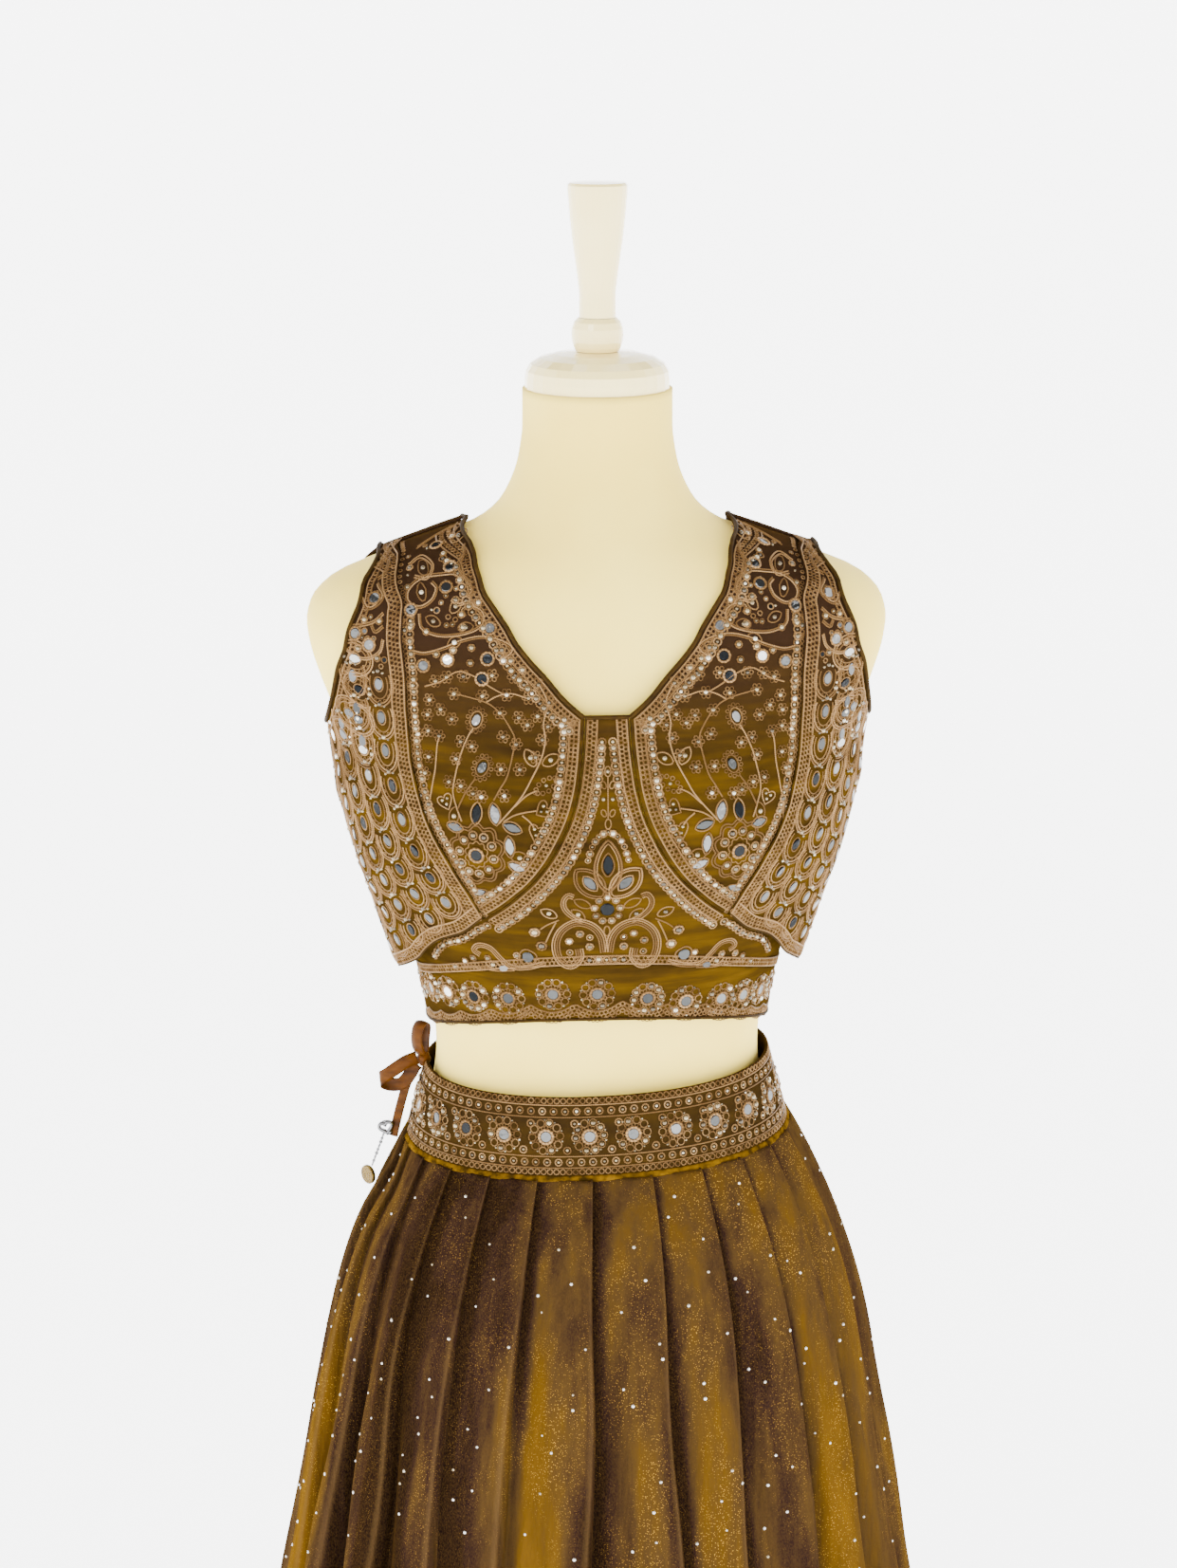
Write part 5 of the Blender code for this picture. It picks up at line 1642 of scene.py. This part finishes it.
def leaf(st, x, z, turn, length=0.0135, width=0.0075, bead=True):
    """Corded leaf outline with a bead."""
    st.loop(marquise(width / 2, length / 2, 26), at(x, z), CORD, turn)
    if bead:
        st.put(BEAD, at(x, z), size=1.9, lean=0.4, lift=0.0002)


def pointed_mirror(st, x, z, turn, size=1.0):
    """A marquise mirror in a corded outline."""
    size = 0.80 * size
    st.put(POINTED_MIRROR, at(x, z), turn, size, lean=0.3)
    st.loop(marquise(0.0042 * size + 0.0007, 0.0085 * size + 1.5 * 0.0007, 30), at(x, z), CORD, turn)


def heart(st, x, z, turn):
    """Corded heart round three beads."""
    share = full_turn(30)
    across = 0.0062 * np.sin(share) ** 3
    up = 0.0050 * np.cos(share) - 0.0019 * np.cos(2 * share) - 0.0007 * np.cos(3 * share)
    st.loop(np.stack((-across, up), -1), at(x, z), THIN, turn)
    st.put(BEAD, at(x, z) + turned(mm((-2.2, 1.2), (2.2, 1.2), (0.0, -2.2)), turn), size=1.25, lean=0.4)


def band_of_cords(st, path, count=2, gap=0.0013, wire=VINE):
    """Cords side by side along a path."""
    for number in range(count):
        st.cord(beside(path, (number - (count - 1) / 2) * gap), wire)


def scroll(st, spots, count=2, gap=0.0013, wire=VINE):
    band_of_cords(st, smooth_path(mm(*spots)), count, gap, wire)


def halfway(path):
    return (path[:-1] + path[1:]) / 2


def chain(st, path, offset, shape, pitch, size, shift=False):
    """Shapes along a path moved sideways by an offset."""
    line = even_path(beside(path, offset), pitch)
    st.put(shape, halfway(line) if shift else line, size=size)


def dense_trim(st, path, inner, rows):
    """Rows of interlocked small rings between two cords, from an offset outwards."""
    way = math.copysign(1.0, inner)
    st.cord(beside(path, inner), CORD)
    for row in range(rows):
        chain(st, path, inner + way * (0.0020 + TRIM_DEPTH * row), SMALL_RING, TRIM_PITCH, 1.12, row % 2)
    st.cord(beside(path, inner + way * (0.0012 + TRIM_DEPTH * rows)), TRIM_EDGE)


def ring_and_bead_row(st, path, offset):
    """Ringed beads and cut beads by turns."""
    line = even_path(beside(path, offset), BEAD_PITCH / 2)
    ring_beads(st, line[1::2], 1.12)
    bright_beads(st, line[2::2], 1.05)


# Cups

VINES = (
    ((131, 1214), (129.5, 1228), (125, 1244), (122, 1255), (120, 1269), (118, 1275)),
    ((103, 1221), (107, 1231), (109, 1241), (106, 1253), (102, 1265), (97, 1276), (93, 1282)),
    ((106, 1229), (99, 1241), (92, 1249)),
    ((79.5, 1236), (75, 1243), (70, 1250), (66.5, 1261), (64, 1275), (67, 1283), (74, 1293),
     (84, 1300), (104, 1305)),
    ((76, 1221), (62, 1236), (53, 1249), (46, 1262), (43, 1275), (44, 1286), (41, 1300), (47, 1313)),
    ((73, 1222), (66, 1226), (58, 1228), (50, 1229)),
    ((60, 1226), (55, 1222), (52, 1218)),
    ((65, 1232), (57, 1239), (50, 1242)),
    ((127, 1309), (115, 1313), (103, 1320), (91, 1317), (80, 1310), (68, 1304)),
    ((83, 1300), (76, 1304), (66, 1306), (55, 1303)),
)
FLOWERS = mm(
    (118, 1276), (126, 1279), (126, 1290), (116, 1294), (108, 1288), (124, 1300), (63, 1272),
    (72, 1277), (45, 1275), (41, 1284), (61, 1255), (74, 1255), (72, 1239), (103, 1244), (112, 1246),
    (94, 1240), (106, 1261), (102, 1273), (94, 1270), (131, 1250), (127, 1261), (136, 1235),
    (74, 1293), (55, 1285), (61, 1290), (48, 1291), (54, 1303), (69, 1305), (86, 1304), (106, 1305),
    (119, 1313), (40, 1300), (47, 1312), (57, 1312), (64, 1317), (99, 1317), (79, 1318), (111, 1316),
    (136, 1264), (134, 1276), (136, 1309), (133, 1224), (50, 1263), (88, 1238))
OVAL_FLOWERS = ((90.5, 1288, 20), (87, 1256, 28))
CUP_LEAVES = ((53.5, 1262.5, -30), (39.5, 1261, 62), (109, 1224, 15), (62, 1199, -75))
HEARTS = ((45, 1229.5, 60), (50, 1215, 20), (115.5, 1233.5, -25))
LOOP_LEAF = (43, 1245, 62)
CUP_MIRRORS = ((108.5, 1217, 100, 0.86), (92, 1227, 8, 1.0), (79, 1227, -10, 1.0),
               (67, 1218, -68, 0.92), (69, 1206, -8, 0.90), (64, 1193, -62, 0.86), (91, 1170.5, 70, 0.84))
MANDALA = at(92.5, 1200)
FILL_LOW = 1.337
TOP_MIRRORS = mm((129, 1393), (110, 1384.5), (111, 1373), (136.5, 1358), (80, 1349), (82, 1329),
                 (110, 1327.5), (127.5, 1323), (86, 1315.5))
TOP_BEADS = mm((136, 1349), (104, 1366), (99, 1349), (125, 1345), (93, 1336), (106, 1334),
               (118, 1390), (120, 1398), (140, 1371), (142, 1381), (72, 1335), (118, 1331), (94, 1326),
               (66, 1328), (58, 1322), (100, 1357), (88, 1365), (137, 1338), (141, 1345))
TOP_LEAVES = ((131, 1382, -60), (129, 1369, -20), (120, 1352, -70), (104, 1362, 40), (97, 1349, 80),
              (105, 1339, 60), (114, 1399, 70))
TOP_SCROLLS = (
    ((100, 1379), (106, 1381), (115, 1380), (130, 1377), (139, 1370), (139, 1363), (130, 1360),
     (121, 1365), (118, 1372), (122, 1375)),
    ((130, 1356), (128, 1347), (115, 1343), (98, 1345), (87, 1350), (85, 1358), (92, 1362), (99, 1360),
     (97, 1356)),
    ((107, 1366), (102, 1363), (95, 1365), (90, 1361)),
    ((136, 1332), (126, 1331), (112, 1335), (100, 1340), (86, 1343), (73, 1341), (65, 1336), (70, 1331),
     (76, 1333)),
    ((144, 1382), (136, 1387), (124, 1384), (126, 1377), (136, 1377)),
    ((104, 1396), (101, 1391), (104, 1386), (100, 1381), (95, 1377), (92, 1371), (96, 1368)),
    ((146, 1390), (140, 1396), (134, 1401), (126, 1402), (122, 1397)),
    ((141, 1352), (145, 1344), (140, 1338), (134, 1340)),
)


def mandala(st, centre):
    """Round mirror, a ring of ringed beads and two scalloped outlines."""
    st.put(ROUND_MIRROR, centre, size=1.1, lean=0.25)
    st.put(RING, centre, size=2.05)
    st.loop(scallops(0.0078, 10, 0.0018), centre, FINE, step=FINE_STEP)
    beads = around(centre, 0.0126, 10, 8.0)
    st.put(BEAD, beads, size=2.1, lean=0.4)
    st.put(RING, beads, size=1.22)
    for radius in (0.0172, 0.0194):
        st.loop(scallops(radius, 10, 0.0036), centre, VINE, step=0.0012)


def cup_motifs(st):
    """Vines, flowers, leaves, hearts and mirrors round the mandala."""
    for vine in VINES:
        st.cord(smooth_path(mm(*vine)), VINE)
    flowers(st, FLOWERS)
    for motif, rows in ((oval_flower, OVAL_FLOWERS), (leaf, CUP_LEAVES), (heart, HEARTS)):
        for row in rows:
            motif(st, *row)
    x, z, turn = LOOP_LEAF
    st.put(SMALL_RING, at(x, z) + turned(marquise(0.0036, 0.0085, 12), turn))
    st.put(BEAD, at(x, z), size=1.4)
    for row in CUP_MIRRORS:
        pointed_mirror(st, *row)
    mandala(st, MANDALA)


def shoulder_motifs(st):
    """Scrolls, mirrors, beads and leaves above the cup."""
    for spots in TOP_SCROLLS:
        scroll(st, spots)
    st.put(ROUND_MIRROR, TOP_MIRRORS, size=0.95, lean=0.25)
    st.put(RING, TOP_MIRRORS, size=1.78)
    bright_beads(st, TOP_BEADS, 0.95)
    for row in TOP_LEAVES:
        leaf(st, *row, 0.0115, 0.0068)


def embroider_cup(name, side):
    st = Stitching(name, CHOLI, side)
    band = CHOLI.edge(VERTICAL_BAND)
    whole = np.vstack((CHOLI.edge(NECKLINE)[:-1], CHOLI.edge(CUP_SEAM)))
    dense_trim(st, whole, 0.0036, 2)
    ring_and_bead_row(st, whole[4:], 0.0142)
    ring_and_bead_row(st, band[22:-6], -0.0052)
    chain(st, band, -0.0014, SMALL_RING, TRIM_PITCH, 1.0)
    cup_motifs(st)
    shoulder_motifs(st)
    shoulder = np.vstack([edge[edge[:, 1] > FILL_LOW] for edge in (whole, band)])
    top = shoulder[np.argsort(np.arctan2(*(shoulder - shoulder.mean(axis=0)).T[::-1]))]
    fill_gaps(st, shrunk(top, 0.0045), 0.0052, 0.0029)
    st.done()


# Centre panel

LOTUS_RINGS = mm((0, 1212.5), (6.5, 1209.5), (11.3, 1203), (14.2, 1194.5))
LOTUS_BEADS = mm((3.4, 1211.5), (9.2, 1206.5), (13.0, 1198.8))
BEAD_CHAIN = ((0, 1218, 0), (3, 1225.5, -30), (3, 1244.5, -30), (0, 1253, 0))
CENTRE_SCROLL = ((1.5, 1122), (4, 1135), (11, 1143.5), (22, 1146.5), (32, 1140), (36, 1128),
                 (33, 1116), (25, 1111.5), (19, 1117.5), (19.5, 1125))
LEAF_CURL = ((17, 1147), (25, 1152), (30, 1158), (31, 1164), (28, 1168.5), (24, 1167))
SIDE_SCROLL = ((44, 1113), (55, 1109), (68, 1108), (76, 1114), (84, 1122), (93, 1123), (97, 1118), (92, 1115))
SIDE_SCROLL_LOW = ((66, 1106), (80, 1104), (95, 1104), (108, 1101))
CURL_LEAVES = ((20.5, 1153, -50, 0.0125, 0.0062), (41, 1154.5, -60, 0.0135, 0.0068),
               (17.5, 1161.5, -62, 0.0140, 0.0060, False))
TENDRILS = (((34, 1149), (42, 1145), (47, 1141)), ((36, 1147), (40, 1138), (43, 1130)))
TENDRIL_BEADS = mm((51, 1138.5), (46, 1127))
SCROLL_BEADS = mm((19, 1137), (12, 1126.5), (5.5, 1116.5), (26.5, 1131))
SCROLL_RINGS = mm((26, 1122), (12, 1134))
SIDE_BEADS = mm((98, 1111), (105, 1107), (86, 1113), (64, 1118), (114, 1100))


def centre_trims(st):
    """Rows along the cup's seam and over the side panel's lower edge."""
    seam = CHOLI.edge(CUP_SEAM)
    dense_trim(st, seam, -0.0020, 2)
    ring_and_bead_row(st, seam[6:], -0.0125)
    under = np.vstack((seam[-1:], CHOLI.edge(SIDE_LOWER)[4:40:6]))
    ring_and_bead_row(st, smooth_path(under), -0.0060)


def centre_scrolls(st):
    """One side of the pattern: beads over the lotus, and scrolls with leaves and mirrors."""
    ring_beads(st, LOTUS_RINGS[1:], 0.8)
    bright_beads(st, LOTUS_BEADS, 0.95)
    for x, z, turn in BEAD_CHAIN[1:3]:
        st.loop(oval(0.0017, 0.0027, 16), at(x, z), FINE, turn, FINE_STEP)
    scroll(st, CENTRE_SCROLL, 4, 0.0017, CURL)
    scroll(st, LEAF_CURL, 3, 0.0016, CURL)
    for row in CURL_LEAVES:
        leaf(st, *row)
    for spots in TENDRILS:
        st.cord(smooth_path(mm(*spots)), CURL)
    bright_beads(st, TENDRIL_BEADS, 1.35)
    bright_beads(st, SCROLL_BEADS, 1.0)
    ring_beads(st, SCROLL_RINGS, 0.9)
    leaf(st, 12, 1116, -75, 0.0110, 0.0060)
    st.put(ROUND_MIRROR, at(56, 1117), size=1.1, lean=0.2)
    st.loop(scallops(0.0062, 3, 0.0012, 30), at(56, 1117), CURL)
    scroll(st, SIDE_SCROLL, 3, 0.0016, CURL)
    scroll(st, SIDE_SCROLL_LOW, 2, 0.0016, CURL)
    st.put(OVAL_MIRROR, at(74, 1106), 80.0, 0.8)
    bright_beads(st, SIDE_BEADS, 0.95)
    leaf(st, 82, 1108, -80, 0.0120, 0.0062)


def lotus(st):
    """Three pointed mirrors in doubled petals, under a crown of ringed beads."""
    pointed_mirror(st, 0, 1190, 0.0, 1.12)
    st.loop(marquise(0.0098, 0.0190, 40), at(0, 1188), 0.0010)
    st.loop(marquise(0.0078, 0.0165, 40), at(0, 1188), CURL)
    for way in (1, -1):
        pointed_mirror(st, 12.5 * way, 1177, -38.0 * way)
        for half_width, half_height in ((0.0092, 0.0160), (0.0074, 0.0138)):
            st.loop(marquise(half_width, half_height, 36), at(12.5 * way, 1177), BOLD, -42.0 * way)
    ring_beads(st, LOTUS_RINGS[:1], 0.8)


def centre_line(st):
    """Chain of loops over the lotus, and a haloed mirror, a loop and a ringed bead below it."""
    for x, z, turn in (BEAD_CHAIN[0], BEAD_CHAIN[3]):
        st.loop(oval(0.0020, 0.0034, 18), at(x, z), FINE, turn, FINE_STEP)
    st.cord(mm((0, 1221), (0, 1228), (0, 1240), (0, 1250)), FINE)
    st.put(BEAD, mm((0, 1253), (3.2, 1235), (-3.2, 1235)), size=1.6, lean=0.4)
    st.put(ROUND_MIRROR, at(0, 1156), size=1.25)
    bright_beads(st, around(at(0, 1156), 0.0092, 9, 90.0), 0.95)
    st.loop(oval(0.0020, 0.0040, 20), at(0, 1139), THIN, step=FINE_STEP)
    ring_beads(st, at(0, 1116), 1.0)


def embroider_centre():
    st = Stitching("centre_stitching", CHOLI)
    for side in (1, -1):
        st.side = side
        centre_trims(st)
        centre_scrolls(st)
    st.side = 1
    lotus(st)
    centre_line(st)
    st.done()


# Under-bust band

BAND_ROSETTES = ((-53.7, 1.0751), (-40.9, 1.0778), (-27.8, 1.0813), (-13.7, 1.0875), (-1.9, 1.0881),
                 (10.7, 1.0834), (22.7, 1.0778), (36.1, 1.0745), (46.8, 1.0719), (-66.0, 1.0712),
                 (58.5, 1.0690), (70.5, 1.0655), (-79.0, 1.0665))


def level_path(chart, line, start, end, count):
    degrees = np.linspace(start, end, count)
    heights = line(degrees)
    return np.stack((chart.across(degrees, heights), heights), -1)


def embroider_band():
    """Rosettes under a dense trim, with scallops along the hem."""
    st = Stitching("band_stitching", CHOLI)
    top = level_path(CHOLI, band_top, -92.0, 92.0, 160)
    hem = level_path(CHOLI, choli_hem, -108.0, 108.0, 160)
    dense_trim(st, top, 0.0010, 2)
    degrees, heights = np.transpose(BAND_ROSETTES)
    places = np.stack((CHOLI.across(degrees, heights), heights), -1)
    rosettes(st, places, 1.08)
    scallop_trim(st, hem, np.sort(places[:, 0]))
    st.done()


def scallop_trim(st, hem, centres):
    """Arcs of small rings that dip under each rosette and rise between them."""
    line = even_path(hem, 0.0030)
    nearest = np.abs(line[:, :1] - centres[None, :]).min(axis=1)
    rise = 0.0052 + 0.0078 * np.clip(nearest / 0.017, 0.0, 1.0) ** 2
    for row, lower in enumerate((0.0, 0.0027, 0.0054)):
        places = line + np.stack((0 * rise, rise - lower), -1)
        if row % 2:
            places = halfway(places)
        st.put(SMALL_RING, places, size=1.1)
    st.cord(line + np.stack((0 * rise, rise + 0.0022), -1), THIN)


# Side panels: columns of scales, spaced in steps down the band, and scrolls above them

SCALE_COLUMNS = 6
SCALE_START = 0.0210
SCALE_ACROSS = 0.0215
SCALE_STEP = 0.0005
SCALE_FIRST = 20
SCALE_STEPS = 46
SCALE_TOP = 1.326
SIDE_TOP_MIRRORS = mm((190, 1383), (175, 1366), (165, 1362), (179, 1340), (168, 1334))
SIDE_TOP_SCROLLS = (
    ((183, 1358), (177, 1362), (170, 1356), (163, 1358), (158, 1364), (164, 1370)),
    ((188, 1344), (176, 1345), (165, 1348), (157, 1354)),
    ((172, 1378), (164, 1382), (160, 1376), (165, 1372)),
    ((186, 1372), (180, 1378), (184, 1388), (178, 1392)),
    ((188, 1330), (180, 1326), (170, 1325), (160, 1330), (157, 1338)),
    ((157, 1346), (163, 1342), (166, 1346)),
)
SIDE_TOP_BEADS = mm((170, 1386), (181, 1366), (186, 1352), (160, 1349), (172, 1349), (189, 1337),
                    (162, 1326), (177, 1331), (157, 1384), (165, 1391))


def kept_runs(path, room):
    """Parts of a path that lie inside an outline."""
    held = np.concatenate(([False], inside(room, path), [False]))
    ends = np.flatnonzero(held[1:] != held[:-1])
    return [path[start:end] for start, end in zip(ends[::2], ends[1::2]) if end - start > 4]


def fill_gaps(st, outline, step, reach):
    """Small rings, beads, and small round mirrors in rings where the pattern leaves plain silk."""
    places = st.free_places(outline, step, reach)
    kind = uneven(np.arange(len(places)), 33.0)
    st.put(SMALL_RING, places[kind < 0.62], size=1.15)
    st.put(BEAD, places[(kind > 0.35) & (kind < 0.80)], size=1.1, lean=0.4)
    ringed = places[kind > 0.80]
    st.put(ROUND_MIRROR, ringed, size=0.42, lean=0.3)
    st.put(RING, ringed, size=0.85)


def scale_motif(st, place, turn, room):
    """Feather scale: doubled arch, a stitched ring, a mirror and a bead over it."""
    bend = np.radians(np.linspace(-122, 122, 30))
    for more, wire in ((0.0, BOLD), (0.0018, BOLD), (0.0046, THIN)):
        arch = np.stack(((0.0118 - more) * np.sin(bend), -(0.0150 - 1.05 * more) * np.cos(bend)), -1)
        for part in kept_runs(even_path(place + turned(arch, turn), 0.0008), room):
            st.cord(part, wire)
    st.put(OVAL_MIRROR, place, turn, lean=0.3)
    st.loop(oval(0.0037, 0.0052, 24), place, THIN, turn)
    bend = np.radians(np.linspace(-100, 100, 9))
    stitches = place + turned(np.stack((0.0095 * np.sin(bend), -0.0122 * np.cos(bend)), -1), turn)
    st.put(SMALL_RING, stitches[inside(room, stitches)], size=0.72)
    crown = place + turned(mm((0, 9.2), (-3.6, 8.0), (3.6, 8.0)), turn)
    held = inside(room, crown)
    st.put(BEAD, crown[held], size=np.array((1.8, 1.1, 1.1))[held], lean=0.4, lift=0.0003)


def scale_places(band, room):
    """Places and turns of the feather scales, in offset columns beside the vertical band."""
    for column in range(SCALE_COLUMNS):
        path = even_path(beside(band, SCALE_START + SCALE_ACROSS * column), SCALE_STEP)
        rows = slice(SCALE_FIRST + SCALE_STEPS // 2 * (column % 2), None, SCALE_STEPS)
        spots = path[rows]
        along = unit(np.gradient(path, axis=0))[rows]
        turns = np.degrees(np.arctan2(along[:, 0], -along[:, 1]))
        keep = inside(room, spots) & (spots[:, 1] < SCALE_TOP)
        yield from zip(spots[keep], turns[keep])


def embroider_side(name, side):
    st = Stitching(name, SIDES, side)
    band = SIDES.edge(VERTICAL_BAND, 120)
    armhole = SIDES.edge(ARMHOLE)
    lower = SIDES.edge(SIDE_LOWER)
    seam = SIDES.edge([ARMHOLE[-1], Edge(SIDE_SEAM, 1.17), SIDE_LOWER[-1]])
    dense_trim(st, band, 0.0012, 3)
    dense_trim(st, lower, 0.0014, 3)
    dense_trim(st, armhole, -0.0042, 1)
    outline = np.vstack((band, lower, seam[::-1], armhole[::-1]))
    room = shrunk(outline, 0.0022)
    for spot, turn in scale_places(band, shrunk(outline, 0.006)):
        scale_motif(st, spot, turn, room)
    for spots in SIDE_TOP_SCROLLS:
        for part in kept_runs(smooth_path(mm(*spots)), room):
            band_of_cords(st, part)
    mirrors = SIDE_TOP_MIRRORS[inside(room, SIDE_TOP_MIRRORS)]
    st.put(ROUND_MIRROR, mirrors, size=1.0, lean=0.3)
    st.put(RING, mirrors, size=1.85)
    bright_beads(st, SIDE_TOP_BEADS[inside(room, SIDE_TOP_BEADS)], 0.95)
    fill_gaps(st, shrunk(outline, 0.0035), 0.0050, 0.0026)
    st.done()


def shrunk(outline, distance):
    """Closed outline drawn towards its middle."""
    middle = outline.mean(axis=0)
    reach = np.linalg.norm(outline - middle, axis=-1, keepdims=True)
    return middle + (outline - middle) * (1 - distance / reach)


# Waistband

WAIST_EDGES = (0.0026, 0.0535)
WAIST_LINES = (0.0056, 0.0143, 0.0424, 0.0506)
WAIST_RINGS = (0.0100, 0.0466)
WAIST_ROSETTES = 0.0284
WAIST_BETWEEN = (0.0189, 0.0380)
WAIST_PITCH = 0.0160


def waist_row(down, low, high):
    """Level path round the waistband, a distance down from its top."""
    return level_path(WAIST, lambda degrees: BAND_TOP.height - down + 0 * degrees, low, high, 240)


def embroider_waistband():
    """Rosettes between rows of ringed beads, lines and edge rings, from the opening round."""
    st = Stitching("waistband_stitching", WAIST)
    for ends in ((OPENING_TO + 1.2, 180.0), (-180.0, OPENING_FROM - 1.2)):
        for down in WAIST_EDGES:
            st.put(EDGE_RING, even_path(waist_row(down, *ends), 0.0047), size=1.1)
        for down in WAIST_LINES:
            st.cord(waist_row(down, *ends), CORD)
        for down in WAIST_RINGS:
            ring_beads(st, even_path(waist_row(down, *ends), 0.0083))
        rosettes(st, even_path(waist_row(WAIST_ROSETTES, *ends), WAIST_PITCH)[1::2], 1.10)
        for down in WAIST_BETWEEN:
            ring_beads(st, even_path(waist_row(down, *ends), WAIST_PITCH)[::2], 1.05)
    st.done()


# Piping and bindings

PIPING = 0.0016
BACK_PIPING = 0.0014
HEM_PIPING = 0.0012
PIPING_SIDES = 7


def add_piping():
    """Silk piping along the choli's neck, back armholes and hem."""
    st = Stitching("choli_piping", CHOLI, over_shoulder=True)
    for side in (1, -1):
        st.side = side
        for edge, offset, wire in ((NECKLINE, 0.0004, PIPING), (BACK_NECK, -0.0004, BACK_PIPING),
                                   (BACK_ARMHOLE, 0.0004, BACK_PIPING)):
            st.cord(beside(CHOLI.edge(edge), offset), wire, sides=PIPING_SIDES)
    st.side = 1
    hem = level_path(CHOLI, choli_hem, -180.0, 180.0, 300)
    st.cord(hem + (0.0, 0.0010), HEM_PIPING, sides=PIPING_SIDES)
    across, height = CHOLI.edge(NECKLINE)[-1]
    notch = np.stack((np.linspace(-across, across, 12), np.full(12, height)), -1)
    st.cord(notch, PIPING, sides=PIPING_SIDES)
    st.done(material="piping_silk")


def add_binding():
    """Binding along the armholes and the lower edges of the side panels."""
    st = Stitching("side_binding", SIDES, over_shoulder=True)
    for side in (1, -1):
        st.side = side
        st.cord(beside(SIDES.edge(ARMHOLE), -0.0004), PIPING, sides=PIPING_SIDES)
        st.cord(beside(SIDES.edge(SIDE_LOWER), 0.0002), BOLD, sides=6)
    st.done(material="piping_silk")


CHOLI = Chart(choli_point, 1.02, 1.42)
SIDES = Chart(side_point, 1.06, 1.40)
WAIST = Chart(waistband_point, 0.935, 1.010)

make_camera()
make_drawstring()
make_form()
make_choli()
make_waistband("waist_cloth_front", OPENING_TO, 90.0, "waistband_front")
make_waistband("waist_cloth_back", 90.0, 360.0 + OPENING_FROM, "waistband_back")
FRONT_SKIRT = make_skirt("skirt_cloth_front", -5, "skirt_front")
BACK_SKIRT = make_skirt("skirt_cloth_back", 7, "skirt_back")
for word, side in (("left", -1), ("right", 1)):
    embroider_cup("cup_stitching_" + word, side)
    embroider_side("side_stitching_" + word, side)
embroider_centre()
embroider_band()
embroider_waistband()
add_piping()
add_binding()
add_hooks()
add_crystals()
add_studs("studs_front", FRONT_SKIRT, 11.0)
add_studs("studs_back", BACK_SKIRT, 17.0)
add_ledge()


# Studio

FLOOR_GLOW = 4.6
WORLD_GLOW = 0.30
FLOOR_RINGS = (0.0, 0.5, 1.0, 2.0, 4.0, 6.0)
SWEEP_RADIUS = 4.0
WALL_TOP = (10.0, 9.0)
FLOOR_COLUMNS = 64
AIM = (0.0, 0.0, 1.15)
Light = namedtuple("Light", "name place size power colour")
LIGHTS = [Light(*row) for row in (
    ("key", (-1.7, -2.6, 2.9), 1.3, 46.0, (1.0, 0.97, 0.93)),
    ("fill", (2.4, -2.2, 1.8), 2.2, 6.0, (0.95, 0.97, 1.0)),
    ("top", (0.2, 0.6, 3.4), 1.6, 22.0, (1.0, 1.0, 1.0)),
)]


def studio_floor():
    """Pale floor that glows more with distance and less high up."""
    look = Look("studio_floor", (0.80, 0.80, 0.80), 0.9, Emission_Color=(1.0, 1.0, 1.0, 1.0))
    reach = look.node("VectorMath", {0: look.where()}, "Value", operation="LENGTH")
    far = look.spread(reach, 0.30, 1.05, 0.12, FLOOR_GLOW, interpolation_type="SMOOTHSTEP")
    height = look.node("SeparateXYZ", {0: look.where()}, "Z")
    low = look.spread(height, 1.8, 3.2, 1.0, 0.2, interpolation_type="SMOOTHSTEP")
    look.feed("Emission Strength", look.combine("MULTIPLY", far, low))


def make_floor():
    """Plain floor that curves up into a wall all round."""
    studio_floor()
    turns = np.radians(np.arange(10, 91, 10))
    edge = FLOOR_RINGS[-1]
    sweep = zip(edge + SWEEP_RADIUS * np.sin(turns), SWEEP_RADIUS - SWEEP_RADIUS * np.cos(turns))
    rings = [(radius, 0.0) for radius in FLOOR_RINGS] + list(sweep) + [WALL_TOP]
    points = [np.column_stack((circle(radius, FLOOR_COLUMNS), np.full(FLOOR_COLUMNS, height)))
              for radius, height in rings]
    faces = [grid_faces(len(rings), FLOOR_COLUMNS, closed=True)]
    mesh_object("studio_floor", np.vstack(points), faces, ["studio_floor"])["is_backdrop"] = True


def make_lights():
    world = bpy.data.worlds.new("studio")
    world.use_nodes = True
    background = world.node_tree.nodes["Background"]
    background.inputs[0].default_value = (1.0, 1.0, 1.0, 1.0)
    background.inputs[1].default_value = WORLD_GLOW
    bpy.context.scene.world = world
    for light in LIGHTS:
        data = bpy.data.lights.new(light.name, "AREA")
        data.shape = "DISK"
        data.size = light.size
        data.energy = light.power
        data.color = light.colour
        ahead = unit(np.subtract(AIM, light.place))
        right = unit(np.cross(ahead, (0.0, 0.0, 1.0)))
        aim(linked(light.name, data), light.place, ahead, right, np.cross(right, ahead))


make_floor()
make_lights()

[[list(corner) for corner in box] for box in (CAD_BOX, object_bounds())]
